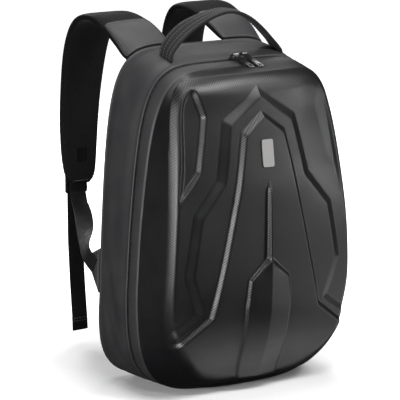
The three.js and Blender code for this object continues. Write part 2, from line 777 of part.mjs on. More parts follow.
function buildBuckle(side, label) {
  const shape = roundedRectangle(BUCKLE.width, BUCKLE.length, BUCKLE.corner);
  const bars = buckleBars();
  const slot = (low, high) => {
    const half = BUCKLE.width / 2 - BUCKLE.rail;
    const hole = new THREE.Path();
    hole.moveTo(-half, low);
    hole.lineTo(-half, high);
    hole.lineTo(half, high);
    hole.lineTo(half, low);
    hole.closePath();
    shape.holes.push(hole);
  };
  const half = BUCKLE.bar / 2;
  slot(bars.middle + half - BUCKLE_Z, bars.top - half - BUCKLE_Z);
  slot(bars.base + half - BUCKLE_Z, bars.middle - half - BUCKLE_Z);
  const geometry = extruded(shape, BUCKLE.thick);
  geometry.translate(0, 0, -BUCKLE.thick / 2);
  geometry.rotateX(Math.PI / 2);
  geometry.translate(side * STRAP_END.x, STRAP_END.y + BUCKLE_OFFSET, BUCKLE_Z);
  addNode(`buckle_${label}`, geometry, "plastic");
}

function extruded(shape, depth) {
  return new THREE.ExtrudeGeometry(shape, { depth, bevelEnabled: false, curveSegments: 4 });
}

function roundedRectangle(width, height, corner) {
  const halfWidth = width / 2;
  const halfHeight = height / 2;
  const shape = new THREE.Shape();
  shape.moveTo(-halfWidth + corner, -halfHeight);
  shape.lineTo(halfWidth - corner, -halfHeight);
  shape.quadraticCurveTo(halfWidth, -halfHeight, halfWidth, -halfHeight + corner);
  shape.lineTo(halfWidth, halfHeight - corner);
  shape.quadraticCurveTo(halfWidth, halfHeight, halfWidth - corner, halfHeight);
  shape.lineTo(-halfWidth + corner, halfHeight);
  shape.quadraticCurveTo(-halfWidth, halfHeight, -halfWidth, halfHeight - corner);
  shape.lineTo(-halfWidth, -halfHeight + corner);
  shape.quadraticCurveTo(-halfWidth, -halfHeight, -halfWidth + corner, -halfHeight);
  return shape;
}

function barRadius() {
  return Math.hypot(BUCKLE.thick, BUCKLE.bar) / 2 + BAR_CLEARANCE + WEBBING_THICK / 2;
}

// The loop starts on the strap's outer face, goes round the buckle's top bar and comes back to itself
function buildBuckleLoop(side, label) {
  const x = side * STRAP_END.x;
  const barTop = buckleBars().top;
  const across = new THREE.Vector3(1, 0, 0);
  const leg = (name) => LOOP_ROWS.filter((row) => row.leg === name).map((row) => ({
    middle: new THREE.Vector3(x, STRAP_END.y + row.y, barTop + row.rise),
    across,
  }));
  const bar = { x, y: STRAP_END.y + BUCKLE_OFFSET, z: barTop };
  const turn = turnOverBar(bar, barRadius(), Math.PI, 2 * Math.PI);
  const stations = [...leg("strap"), ...turn, ...leg("back")];
  addNode(`buckle_loop_${label}`, bandSolid(bandRows(stations), WEBBING_WIDTH, WEBBING_THICK), "webbing");
}

// Stations of the webbing's twisted run, a few between every two rows of its table
function twistedRun(side) {
  const level = new THREE.Vector3(1, 0, 0);
  const flat = new THREE.Vector3(0, side * TAB_ACROSS.y, side * TAB_ACROSS.z);
  const tabFace = panelHalf(TAB_WEBBING.z) + TAB_GAP + TAB_THICK + TAB_WEBBING.gap + WEBBING_THICK / 2;
  const middles = WEBBING_ROWS.map((row) => new THREE.Vector3(side * (row.x || tabFace), row.y, row.z));
  const path = new THREE.CatmullRomCurve3(middles);
  const spans = WEBBING_ROWS.length - 1;
  const stations = [];
  for (let step = 0; step <= spans * WEBBING_PARTS; step += 1) {
    const place = step / WEBBING_PARTS;
    const row = Math.min(spans - 1, Math.floor(place));
    const twist = mix(WEBBING_ROWS[row].twist, WEBBING_ROWS[row + 1].twist, place - row);
    stations.push({
      middle: path.getPoint(place / spans),
      across: flat.clone().lerp(level, twist).normalize(),
    });
  }
  return stations;
}

// From the side tab to the buckle, over its middle bar and down as a loose tail with a folded hem
function buildWebbing(side, label) {
  const x = side * STRAP_END.x;
  const barY = STRAP_END.y + BUCKLE_OFFSET;
  const radius = barRadius();
  const level = new THREE.Vector3(1, 0, 0);
  const bars = buckleBars();
  const rise = { middle: new THREE.Vector3(x, barY - radius, bars.base + BUCKLE.bar / 2), across: level };
  const tail = TAIL_ROWS.map((row) => ({
    middle: new THREE.Vector3(x - side * row.inward, barY + radius + row.behind, row.z),
    across: level,
    layers: row.layers,
  }));
  const turn = turnOverBar({ x, y: barY, z: bars.middle }, radius, Math.PI, 0);
  const stations = [...twistedRun(side), rise, ...turn, ...tail];
  addNode(`webbing_${label}`, bandSolid(bandRows(stations), WEBBING_WIDTH, WEBBING_THICK), "webbing");
}

// Half width of the back panel beside the tab
function panelHalf(z) {
  const up = Math.max(0, (z - BACK_OUTLINE.waist) / (BACK_OUTLINE.top - BACK_OUTLINE.waist));
  return BACK_OUTLINE.half * (1 - BACK_OUTLINE.taper * up) - PANEL_INSET;
}

// Three-cornered tab sewn to the back panel's seam, lying along the side
function buildSideTab(side, label) {
  const face = (offset) => TAB_CORNERS.map((corner) => ({
    x: side * (panelHalf(corner.z) + TAB_GAP + offset),
    y: corner.y,
    z: corner.z,
  }));
  addNode(`side_tab_${label}`, sweptSolid([face(0), face(TAB_THICK)]), "smooth");
}

// Solid tools for adding and cutting small hardware
function toSolid(geometry) {
  const plain = geometry.index ? geometry.toNonIndexed() : geometry;
  const corners = plain.getAttribute("position");
  const places = new Map();
  const points = [];
  const faces = [];
  for (let corner = 0; corner < corners.count; corner += 1) {
    const spot = [corners.getX(corner), corners.getY(corner), corners.getZ(corner)];
    const key = spot.map((value) => Math.round(value * 10000)).join(" ");
    if (!places.has(key)) {
      places.set(key, points.length / 3);
      points.push(...spot);
    }
    faces.push(places.get(key));
  }
  const mesh = new manifoldLibrary.Mesh({
    numProp: 3,
    vertProperties: new Float32Array(points),
    triVerts: new Uint32Array(faces),
  });
  return new manifoldLibrary.Manifold(mesh);
}

function fromSolid(solid) {
  const mesh = solid.getMesh();
  const geometry = new THREE.BufferGeometry();
  geometry.setAttribute("position", new THREE.BufferAttribute(new Float32Array(mesh.vertProperties), 3));
  geometry.setIndex(new THREE.BufferAttribute(new Uint32Array(mesh.triVerts), 1));
  geometry.computeVertexNormals();
  return geometry;
}

function topSlope() {
  return Math.atan2(BACK_OUTLINE.top - EDGE_OUTLINE.top, BODY_DEPTH);
}

function sliderSeat(x) {
  return new THREE.Vector3(x, ZIP_Y, bodyTop(x, ZIP_Y) + SLIDER.seat);
}

function sliderBar(x) {
  const lift = new THREE.Vector3(0, 0, SLIDER.barHeight);
  lift.applyAxisAngle(new THREE.Vector3(1, 0, 0), topSlope());
  return sliderSeat(x).add(lift);
}

function buildSlider(x, label) {
  const plate = roundedRectangle(SLIDER.length, SLIDER.width, SLIDER.corner);
  const body = extruded(plate, SLIDER.height);
  const postHeight = SLIDER.barHeight + SLIDER.bar + SLIDER.cap - SLIDER.height / 2;
  const postPlace = SLIDER.length / 2 - SLIDER.postWidth / 2 - SLIDER.postInset;
  const post = (side) => new THREE.BoxGeometry(SLIDER.postWidth, SLIDER.postDepth, postHeight)
    .translate(side * postPlace, 0, SLIDER.height / 2 + postHeight / 2);
  const bar = new THREE.CylinderGeometry(SLIDER.bar, SLIDER.bar, postPlace * 2, 12)
    .rotateZ(Math.PI / 2)
    .translate(0, 0, SLIDER.barHeight);
  const solid = toSolid(body).add(toSolid(post(-1))).add(toSolid(post(1))).add(toSolid(bar));
  const geometry = fromSolid(solid);
  geometry.rotateX(topSlope());
  const seat = sliderSeat(x);
  geometry.translate(seat.x, seat.y, seat.z);
  addNode(`zip_slider_${label}`, geometry, "metal");
}

function buildPull(x, label) {
  const outline = roundedRectangle(PULL.width, PULL.length - PULL.barrel, PULL.corner);
  const window = roundedRectangle(PULL.width - PULL.windowRim * 2, PULL.windowLength, PULL.windowCorner);
  const slab = (shape, depth, y) => toSolid(extruded(shape, depth).translate(0, y, -depth / 2));
  const rod = (radius, length) => toSolid(
    new THREE.CylinderGeometry(radius, radius, length, 20).rotateZ(Math.PI / 2),
  );
  const plate = slab(outline, PULL.thick, -PULL.length / 2);
  const hole = slab(window, PULL.thick * 3, PULL.windowLength / 2 + PULL.windowEnd - PULL.length);
  const barrel = rod(PULL.barrel, PULL.barrelLength);
  const bore = rod(PULL.bore, PULL.barrelLength * 2);
  const solid = plate.subtract(hole).add(barrel).subtract(bore);
  const geometry = fromSolid(solid);
  geometry.rotateX((PULL.drop * Math.PI) / 180);
  const bar = sliderBar(x);
  geometry.translate(bar.x, bar.y, bar.z);
  addNode(`zip_pull_${label}`, geometry, "metal");
}

// Bare plate on the spear, leaning with the shell's face
function buildBadge() {
  const corner = BADGE.corner;
  const shape = roundedRectangle(BADGE.halfWidth * 2, BADGE.halfHeight * 2, corner);
  const geometry = extruded(shape, BADGE.thick);
  const reach = BADGE.halfHeight - corner / 2;
  const rise = shellDepth(0, BADGE.z + reach) - shellDepth(0, BADGE.z - reach);
  const lean = Math.atan2(rise, 2 * reach);
  geometry.rotateX(Math.PI / 2 + lean);
  const face = Math.max(shellDepth(0, BADGE.z), shellDepth(corner, BADGE.z));
  geometry.translate(0, EDGE_Y - SEAM_GAP - face - BADGE.gap, BADGE.z);
  addNode("badge_plate", geometry, "metal");
}

buildShell();
buildBandZipAndGusset();
buildBackPanel();
buildHandle();
for (const [side, label] of [[-1, "left"], [1, "right"]]) {
  buildStrap(side, label);
  buildBuckle(side, label);
  buildBuckleLoop(side, label);
  buildWebbing(side, label);
  buildSideTab(side, label);
}
SLIDER_X.forEach((x, index) => {
  const label = index === 0 ? "left" : "right";
  buildSlider(x, label);
  buildPull(x, label);
});
buildBadge();

export default group;
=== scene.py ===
"""Looks of the laptop backpack: moulded shell, soft walls, straps, hardware, light and camera.

Shapes are worked out in millimetres in the part's own frame, and become metres when a mesh is made.
"""

import math

import bmesh
import bpy
import numpy as np
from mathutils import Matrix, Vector


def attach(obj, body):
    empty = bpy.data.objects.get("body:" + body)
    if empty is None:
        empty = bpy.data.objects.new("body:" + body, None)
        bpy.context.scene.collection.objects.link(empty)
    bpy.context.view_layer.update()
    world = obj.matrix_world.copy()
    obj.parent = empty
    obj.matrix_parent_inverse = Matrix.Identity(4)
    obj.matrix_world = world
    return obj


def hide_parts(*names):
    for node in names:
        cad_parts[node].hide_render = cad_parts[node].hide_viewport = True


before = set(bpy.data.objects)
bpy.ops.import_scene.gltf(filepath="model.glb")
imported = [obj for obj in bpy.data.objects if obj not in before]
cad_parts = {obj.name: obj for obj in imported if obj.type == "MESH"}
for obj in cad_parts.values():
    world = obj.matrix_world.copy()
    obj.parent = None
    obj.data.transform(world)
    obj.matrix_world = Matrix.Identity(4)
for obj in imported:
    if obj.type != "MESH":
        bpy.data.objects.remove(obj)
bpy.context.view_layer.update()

MM = 0.001
BAG = "bag"
SIDES = {"left": -1, "right": 1}

# Body sizes
EDGE_Y = -52
BACK_Y = 52
SEAM_GAP = 0.3
WALL = 4.5
# Outlines: half width, heights and roundness; the soft left shoulder is rounder than the right one
EDGE_OUTLINE = {
    "half": 157, "taper": 0.19, "top": 438, "waist": 175, "base": -2,
    "left_power": 5.1, "right_power": 10, "base_power": 4.2,
}
BACK_OUTLINE = {
    "half": 156, "taper": 0.12, "top": 458, "waist": 117, "base": -2,
    "left_power": 5.9, "right_power": 8, "base_power": 3.9,
}
# Share of the rise over which the sides start to lean in
WAIST_SOFT = 0.3
# Turn to each side by which an outline's direction is found, and the rounds that find its top
ANGLE_STEP = 0.002
TOP_ROUNDS = 20

# Front shell: outline of its crest, depth of its face, and the sampling of its skin
CREST_OUTLINE = {
    "half": 146.5, "taper": 0.14, "top": 433, "waist": 175, "base": 5,
    "left_power": 10.5, "right_power": 8, "base_power": 3,
}
CREST_SHARE = 0.88
LEAST_WALL_WIDTH = 3
# Rounding of the crest: half sizes across at the sides, top and base, and deep, and its shares where it
# leaves the wall
CREST_ROUND = {"side": 10, "top": 36, "base": 26, "deep": 24, "wall_across": 0.916, "wall_deep": 0.4}
# Depth before the edge at heights above the floor, in the middle and at the crest
SHELL_PROFILE = [
    (431, 52, 32), (410, 53, 42), (385, 55, 47), (343, 62.5, 55), (293, 69, 62), (243, 70, 67),
    (193, 70, 68), (147, 69, 66), (112, 66, 61), (82, 59, 55), (63, 52, 50), (47, 45, 46),
    (31, 38.5, 42), (15, 36, 38),
]
PROFILE_STATIONS = 120
# Wall of the shell, and the depth by which its inside is drawn in
SHELL_WALL = 3.5
SHELL_DEEP = 69
SHELL_CELLS = 290
SHELL_INSIDE_STEP = 5
SHELL_RIM = {"cells": 0.72, "out": 0.84, "power": 1.3}
# Corners of the plates: height above the floor and half width
CHEEK_LINE = [(424, 101), (383, 87), (313, 102), (269, 140), (240, 165)]
SHIELD_LINE = [(416, 0), (376, 57), (299, 72), (255, 109), (175, 124), (123, 106), (95, 146), (82, 165)]
SPEAR_LINE = [(387, 0), (360, 35), (286, 50), (190, 72), (117, 90), (77, 144), (61, 165)]
RIB_LINE = [(292, 0), (282, 3), (189, 4), (163, 33), (124, 37), (52, 36), (13, 32)]
# Plates: line, distances inside it over which they rise, height and whether they are pressed in
PLATES = [
    (RIB_LINE, (0, 4), 4.5, False),
    (SPEAR_LINE, (0, 6.5), 6.5, False),
    (SHIELD_LINE, (-2, 10), 5.5, False),
    (CHEEK_LINE, (0, 6.5), 6, True),
]
# The right cheek is pressed softer and less deep than the left one
RIGHT_CHEEK = {"bevel": (-8, 22), "share": 0.4}
RIB_RIDGE = 4.5
# Distances from the rim over which the plates rise
PLATE_START = (12, 22)

# Steps round the body of the band, the zip and the side wall
RING_STEPS = 480
# Front band: its start behind the edge, radii of its edges, the crown between them and its lip
BAND = {"groove": 2, "zip_radius": 2, "shell_radius": 4.5, "crown": 0.5, "crown_end": 5, "lip": 0.6}

# Zip and side wall
ZIP_Y = -26
ZIP_WIDTH = 4.6
ZIP_RECESS = 1.2
ZIP_THICK = 2.4
ZIP_CROWN = 0.2
TOOTH = {"along": 1.1, "across": 1.5, "high": 0.8, "pitch": 1.9, "offset": 0.75}
GUSSET_FRONT = ZIP_Y + ZIP_WIDTH / 2 + SEAM_GAP
GUSSET_BACK = BACK_Y - SEAM_GAP
# Shares of the side wall's depth where its swelling face starts and ends, and its round edges
GUSSET_SPAN = (0.94, 0.07)
GUSSET_ROWS = 26
BULGE = {"side": 1.5, "top": 4, "from": 0.3, "to": 0.7}
PIPING = {"radius": 1.9, "inset": 0.9}
ZIP_FOLD = {"radius": 1.7, "inset": 0.7}
# Soft creases of the side wall: side, ends as depth and height, half width and depth
CREASES = [
    (-1, (44, 198), (-10, 53), 9, 1.1),
    (-1, (40, 143), (0, 23), 8, 0.9),
    (-1, (20, 293), (0, 143), 12, 0.7),
    (-1, (35, 423), (-5, 373), 10, 0.8),
    (1, (44, 188), (-8, 68), 9, 1.0),
    (1, (36, 128), (4, 33), 9, 0.8),
    (1, (26, 313), (2, 223), 12, 0.7),
]
# Distances from the bag's middle over which creases begin
CREASE_START = (60, 110)

# Back panel, and its pads: middle and half size across and up, and height
PANEL_INSET = 1.5
PANEL_BASE = 5
PANEL_CELLS = 120
BACK_PADS = [((66, 46), (331, 92), 6.5), ((68, 50), (121, 88), 6.5), ((0, 14), (393, 34), 3)]

# Shoulder strap: depth, height, middle, width, thickness and how far it follows the bag's top;
# height 0 is seated
STRAP_ROWS = [
    (53, 0, 73, 66, 3.5, 1), (61, 0, 73, 69, 8, 1), (82, 470, 73, 71, 11, 0.6),
    (108, 480, 73.5, 71, 11, 0.25), (134, 487, 74.5, 70, 11, 0), (156, 489, 76, 69.5, 11, 0),
    (176, 485, 77.5, 69, 11, 0), (192, 472, 79, 68.5, 11, 0), (204, 450, 80.5, 67.5, 11, 0),
    (212, 421, 82, 65.5, 11, 0), (219, 381, 83, 62, 11, 0), (223, 339, 84, 59, 11, 0),
    (224, 298, 84.5, 55, 11, 0), (223, 270, 84.5, 50, 10.5, 0), (221.5, 252, 84.5, 42, 9.5, 0),
    (220.5, 243, 84.5, 27, 8, 0),
]
# The right strap lies a little further out near its root, and its arc stands a little higher
RIGHT_STRAP = {
    "shift": 10, "fade_start": 60, "fade_end": 205, "lift": 5, "lift_middle": 150, "lift_reach": 90,
}
STRAP_STATIONS = 150
STRAP_COLUMNS = 25
STRAP_EDGE = 0.5
STRAP_SEAT_GAP = 0.7
# How far the root reaches down behind the panel's rounded top edge, and over how many stations
STRAP_TUCK = 5
TUCK_STATIONS = 7
# Edge tape: shares of its half width that it sits in and that its seam lies in, and its section
BINDING = {
    "half_width": 3.4, "over": 0.9, "sunk": 0.55, "seam": 0.9, "power": 0.6,
    "corners": 14, "end_points": 24,
}
PATCH = {"last_y": 112, "half": 1.0, "thick": 1.2, "cells": 44, "seam": 0.93, "seam_points": 60}
LABEL = {"z": 284, "half_long": 10.5, "half": 0.33, "thick": 0.9, "gap": 0.1, "border": 0.35, "cells": 20}

# Carry handle from its left foot: sideways place, depth, height and degrees that its front edge hangs down;
# height 0 stands on the side wall
HANDLE_ROWS = [
    (-77, 2, 0, 11), (-76, 1, 457.5, 15), (-71.5, 0, 466, 20), (-62, -1, 476.5, 21), (-46.5, -2, 488, 18),
    (-28, -3, 497, 10), (-7.5, -4, 504, 4), (13, -4, 507, 2), (32, -4, 504, 4), (48, -3, 497.5, 8),
    (60, -2, 490, 11), (73, -1, 479.5, 13), (86, 0, 467, 14), (96, 1, 457, 13), (103, 2, 0, 11),
]
HANDLE_WIDTH = 30
HANDLE_THICK = 5
HANDLE_STATIONS = 90
HANDLE_COLUMNS = 41
HANDLE_EDGE = 0.5
# Sewn channels along the handle: shares of its half width, then their half width, depth and how far in
# their thread lies
HANDLE_SEAMS = [-0.78, -0.3, 0.3, 0.78]
CHANNEL = {"half": 0.9, "deep": 0.55, "thread": 0.25}

# Buckle, its loop and the webbing
STRAP_END = {"x": 84.5, "y": 221}
BUCKLE_BARS = {"y": 232.4, "top": 254.1, "middle": 242.5, "base": 229.8}
BAR_RADIUS = 4.19
TURN_POINTS = 14
WEBBING_WIDTH = 25
WEBBING_THICK = 1.4
LEVEL = np.array([1.0, 0.0, 0.0])
# Section of a woven band in shares of its half width and half thickness
WEBBING_SHAPE = [
    (-1, -0.4), (-1, 0.4), (-0.96, 0.9), (-0.9, 1), (0, 1.06), (0.9, 1), (0.96, 0.9),
    (1, 0.4), (1, -0.4), (0.96, -0.9), (0.9, -1), (0, -1.06), (-0.9, -1), (-0.96, -0.9),
]
# Loop stations: height over the top bar, place behind the strap's end, before or after the turn
LOOP_ROWS = {"strap": [(22.9, 9.1), (8, 7.9)], "back": [(11, 12.5), (18.9, 10.8)]}
# Webbing from the tab to the buckle: place, and its share of the turn from the tab's plane to level
WEBBING_ROWS = [
    (155.2, 62, 159, 0), (155, 82, 170, 0.05), (150, 96, 177, 0.2), (136, 119, 186, 0.45),
    (118, 152, 197, 0.75), (101, 186, 207, 0.93), (90, 214, 216, 1),
]
# Loose tail: how far inwards and behind it hangs, its height and its layers
TAIL_ROWS = [
    (0, 0, 208, 1), (1, 1, 153, 1), (3, 0, 93, 1), (5, -2, 43, 1), (5, -2, 42, 2), (5.5, -2.5, 22, 2),
]
# Hem of the tail: how far its seams lie below its upper edge, and their half length as a share of the width
HEM = {"seams": (2, 6), "half": 0.45}
RUN_STATIONS = 60
# Side tab: direction across the webbing's end on it, its corners as depth and height, and its rings of
# points as shares out to its edge and of its thickness
TAB_ACROSS = (0.45, -0.89)
TAB_CORNERS = [(52.5, 186), (83, 171), (81, 161), (52.5, 124)]
TAB_EDGE_POINTS = 14
TAB_GAP = 0.5
TAB_THICK = 2.6
TAB_SEAM = 0.84
TAB_RINGS = [
    (0.05, 0), (0.97, 0), (1, 0.25), (1, 0.7), (0.97, 0.95), (0.9, 1), (TAB_SEAM, 0.88), (0.78, 1),
    (0.05, 1.05),
]

# Stitches, and the rings of one stitch: place along it, share of its width and lift
STITCH = {"long": 3.1, "pitch": 4.3, "wide": 0.75, "high": 0.55}
STITCH_RINGS = [(-0.5, 0.4, -0.6), (-0.3, 1, 0.35), (0, 1, 1), (0.3, 1, 0.35), (0.5, 0.4, -0.6)]
# Share of a band's half thickness at which its stitches lie
THREAD_OUT = 1.02

# Hardware: widths of its softened edges and the least angle of an edge that is softened
BEVELS = {"buckle": 0.8, "zip_slider": 0.35, "zip_pull": 0.3, "badge_plate": 0.5}
BEVEL_ANGLE = 35

# Values of a texture between which a colour or roughness runs
TEXTURE_SPREAD = (0.3, 0.7)

# Photograph's camera: the image is 400 pixels wide
IMAGE_WIDTH = 400
CAMERA = {"place": (-1884.9, -2867.4, 948.8), "target": (-40.3, -25.85, 254.3), "focal_pixels": 2544.2}
SENSOR_WIDTH = 36

# Studio lights: degrees round from the front and up, size in metres and power
LIGHT_TARGET = Vector((0, 0, 0.25))
LIGHT_DISTANCE = 2.3
LIGHTS = [
    ("right_box", 45, 1, (0.3, 0.56), 10.5),
    ("left_strip", -62, 2, (0.25, 1.0), 42),
    ("left_box", -88, 4, (0.8, 1.0), 24),
    ("high_left", -30, 48, (0.5, 0.3), 8),
    ("high_middle", -5, 65, (0.6, 0.4), 12),
    ("high_right", 30, 48, (0.7, 0.9), 32),
    ("front_high", 38, 24, (0.3, 0.3), 5),
    ("top_box", 180, 80, (1.4, 1.4), 28),
    ("back_high", 138, 45, (0.5, 0.4), 5),
    ("back_fill", 172, 18, (1.0, 0.8), 26),
]
# Light thrown back by the paper near the bag: middle, size and power
BOUNCES = [
    ("right_bounce", (0.42, -0.32, 0.01), (0.4, 0.5), 0.8),
    ("foot_bounce", (0.01, -0.19, 0.004), (0.4, 0.08), 0.085),
    ("toe_bounce", (0.06, -0.135, 0.004), (0.28, 0.04), 0.05),
    ("left_bounce", (-0.45, -0.4, 0.01), (0.4, 0.4), 0.4),
]
WORLD_STRENGTH = 0.02
FLOOR_REACH = 9
# Painted light of the floor, which glows though it is no lamp: its glow near the bag and far from it, and
# the distances in metres between which it grows
FLOOR_GLOW = (0.02, 1.0)
FLOOR_GLOW_REACH = (0.18, 0.48)


def mix(a, b, share):
    return a + (b - a) * share


def ramp(value, start, end):
    """0 at start, 1 at end and straight between them."""
    return np.clip((value - start) / (end - start), 0, 1)


def soft_step(share):
    return share * share * (3 - 2 * share)


def line_half(line, z):
    """Half width of a corner table at heights z, straight on beyond its ends."""
    heights, halves = np.array(line, float).T
    row = np.clip(np.searchsorted(-heights, -z, side="right") - 1, 0, len(line) - 2)
    share = (z - heights[row + 1]) / (heights[row] - heights[row + 1])
    return mix(halves[row + 1], halves[row], share)


def smooth_rows(rows, count):
    """A table's rows as a smooth run of count rows through them."""
    rows = np.asarray(rows, float)
    places = np.linspace(0, len(rows) - 1, count)
    index = np.minimum(places.astype(int), len(rows) - 2)
    share = (places - index)[:, None]
    padded = np.vstack([2 * rows[0] - rows[1], rows, 2 * rows[-1] - rows[-2]])
    before, here, following, after = (padded[index + step] for step in range(4))
    straight = following - before
    square = 2 * before - 5 * here + 4 * following - after
    cube = 3 * here - before - 3 * following + after
    return 0.5 * (2 * here + straight * share + square * share ** 2 + cube * share ** 3)


def unit(vectors):
    vectors = np.asarray(vectors, float)
    return vectors / np.linalg.norm(vectors, axis=-1, keepdims=True)


# Meshes
def add_object(name, data):
    made = bpy.data.objects.new(name, data)
    bpy.context.scene.collection.objects.link(made)
    return made


def make_object(name, points, faces, uvs, materials, face_materials=None):
    """One mesh object from points in millimetres, with its faces turned outwards."""
    mesh = bpy.data.meshes.new(name)
    mesh.from_pydata((np.asarray(points) * MM).tolist(), [], [list(map(int, face)) for face in faces])
    layer = mesh.uv_layers.new(name="surface")
    layer.data.foreach_set("uv", (np.asarray(uvs, float) * MM).ravel())
    for material in materials:
        mesh.materials.append(material)
    if face_materials is not None:
        mesh.polygons.foreach_set("material_index", np.asarray(face_materials, int))
    editing = bmesh.new()
    editing.from_mesh(mesh)
    bmesh.ops.remove_doubles(editing, verts=editing.verts, dist=0.01 * MM)
    bmesh.ops.recalc_face_normals(editing, faces=editing.faces)
    editing.to_mesh(mesh)
    editing.free()
    mesh.polygons.foreach_set("use_smooth", np.ones(len(mesh.polygons), bool))
    return add_object(name, mesh)


def grid_faces(rows, columns, start=0):
    """Four-cornered faces of a grid of points, listed row by row."""
    row, column = np.meshgrid(np.arange(rows - 1), np.arange(columns - 1), indexing="ij")
    first = start + row * columns + column
    return np.stack([first, first + columns, first + columns + 1, first + 1], axis=-1).reshape(-1, 4)


def run_lengths(points, axis):
    """Lengths along one direction of a grid, from its first line."""
    steps = np.linalg.norm(np.diff(points, axis=axis), axis=2)
    first = np.zeros_like(np.take(steps, [0], axis=axis))
    return np.concatenate([first, np.cumsum(steps, axis=axis)], axis=axis)


def surface_lengths(points):
    return np.stack([run_lengths(points, 0), run_lengths(points, 1)], axis=-1)


def loft(name, sections, materials, ring=False, face_materials=None):
    """Closed tube through sections, each a loop of points; a ring joins the last section to the first."""
    points = np.asarray(sections, float)
    points = np.concatenate([points, points[:, :1]], axis=1)
    if ring:
        points = np.concatenate([points, points[:1]], axis=0)
    rows, columns = points.shape[:2]
    faces = grid_faces(rows, columns)
    flat_uvs = surface_lengths(points).reshape(-1, 2)
    uvs = flat_uvs[faces].reshape(-1, 2)
    faces = faces.tolist()
    if not ring:
        first = list(range(columns - 1))
        last = [(rows - 1) * columns + step for step in first]
        faces += [first, last]
        uvs = np.vstack([uvs, flat_uvs[first], flat_uvs[last]])
    if face_materials is not None:
        ends = len(faces) - (rows - 1) * (columns - 1)
        face_materials = list(np.tile(face_materials, rows - 1)) + [0] * ends
    return make_object(name, points.reshape(-1, 3), faces, uvs, materials, face_materials)


def edge_places(count):
    """Places from -1 to 1, closer together towards both ends."""
    return np.sin(np.linspace(-1, 1, count) * math.pi / 2)


def rim_places(count, rim):
    """Places from -1 to 1, even within a rim and closer together over it."""
    steps = np.linspace(-1, 1, count)
    inner = np.abs(steps) / rim["cells"] * rim["out"]
    outer = 1 - (1 - rim["out"]) * (1 - ramp(np.abs(steps), rim["cells"], 1)) ** rim["power"]
    return np.sign(steps) * np.where(np.abs(steps) < rim["cells"], inner, outer)


def square_places(axis):
    return np.meshgrid(axis, axis, indexing="ij")


def rounded_radius(angle, power):
    """Distance out to the edge of a rounded square at an angle."""
    across, up = np.abs(np.cos(angle)), np.abs(np.sin(angle))
    return (across ** power + up ** power) ** (-1 / power)


def square_reach(angle):
    """What a square's places are multiplied by to spread them over a circle."""
    return np.maximum(np.abs(np.cos(angle)), np.abs(np.sin(angle)))


def pillow(name, place, count, materials, power):
    """Closed pad: place gives points for places u and v within a rounded square, and for its two faces."""
    u, v = square_places(edge_places(count + 1))
    angle = np.arctan2(v, u)
    reach = rounded_radius(angle, power) * square_reach(angle)
    rim = np.maximum(np.abs(u), np.abs(v))
    high = np.sqrt(np.maximum(0, 1 - rim ** 8))
    points = [place(u * reach, v * reach, high * face) for face in (1, 0)]
    return two_faced(name, points, materials)


def two_faced(name, grids, materials):
    """Closed mesh of two grids that share their rim."""
    rows, columns = grids[0].shape[:2]
    faces = np.concatenate([grid_faces(rows, columns), grid_faces(rows, columns, rows * columns)])
    uvs = np.concatenate([surface_lengths(grid).reshape(-1, 2) for grid in grids])
    points = np.concatenate([grid.reshape(-1, 3) for grid in grids])
    return make_object(name, points, faces, uvs[faces].reshape(-1, 2), materials)


def scatter(name, template, faces, origins, axes, materials):
    """One mesh of many small copies; axes holds each copy's three directions."""
    points = origins[:, None, :] + np.einsum("tk,nkd->ntd", template, axes)
    count = len(template)
    starts = range(0, len(origins) * count, count)
    all_faces = [[start + corner for corner in face] for start in starts for face in faces]
    loops = sum(len(face) for face in all_faces)
    return make_object(name, points.reshape(-1, 3), all_faces, np.zeros((loops, 2)), materials)


def dress(made, slot, *nodes, body=BAG):
    """The piece rides on a body and hides the CAD nodes that it stands for; slot is not used."""
    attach(made, body)
    if nodes:
        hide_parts(*nodes)
    return made


# Small repeated things
def along_line(points, pitch):
    """Even places along a line of points, with their directions and shares of its rows."""
    lengths = np.concatenate([[0], np.cumsum(np.linalg.norm(np.diff(points, axis=0), axis=1))])
    wanted = np.arange(pitch / 2, lengths[-1], pitch)
    rows = np.interp(wanted, lengths, np.arange(len(points)))

    def spots(places):
        return np.stack([np.interp(places, lengths, points[:, axis]) for axis in range(3)], axis=-1)

    return spots(wanted), unit(spots(wanted + 0.5) - spots(wanted - 0.5)), rows


def tube_faces(count):
    """Faces of a closed tube of four-cornered rings with count points in all."""
    faces = [[3, 2, 1, 0], [count - corner for corner in (4, 3, 2, 1)]]
    for start in range(0, count - 4, 4):
        for corner in range(4):
            following = (corner + 1) % 4
            faces.append([start + corner, start + following, start + 4 + following, start + 4 + corner])
    return faces


def stitches(name, lines, slot="webbing"):
    """Rows of thread stitches; each line is its points and the direction or directions they face."""
    corners = ((-1, 0), (0, 1), (1, 0), (0, -1))
    half_wide, half_high = STITCH["wide"] / 2, STITCH["high"] / 2
    template = [
        (place * STITCH["long"], across * share * half_wide, (lift + height * share) * half_high)
        for place, share, lift in STITCH_RINGS for across, height in corners
    ]
    faces = tube_faces(len(template))
    origins, axes = [], []
    for points, normals in lines:
        spots, along, rows = along_line(points, STITCH["pitch"])
        facing = np.broadcast_to(normals, points.shape)[np.rint(rows).astype(int)]
        facing = unit(facing - np.sum(facing * along, axis=1, keepdims=True) * along)
        origins.append(spots)
        axes.append(np.stack([along, np.cross(facing, along), facing], axis=1))
    made = scatter(name, np.array(template), faces, np.concatenate(origins), np.concatenate(axes), [THREAD])
    return dress(made, slot)


# Materials
def set_inputs(node, values):
    for name, value in values.items():
        node.inputs[name].default_value = value


def material_base(name, colour, roughness, metallic=0.0):
    """A new material with its shader; colour is linear."""
    material = bpy.data.materials.new(name)
    material.use_nodes = True
    tree = material.node_tree
    shader = tree.nodes["Principled BSDF"]
    set_inputs(shader, {"Base Color": (*colour, 1), "Roughness": roughness, "Metallic": metallic})
    return material, tree, shader


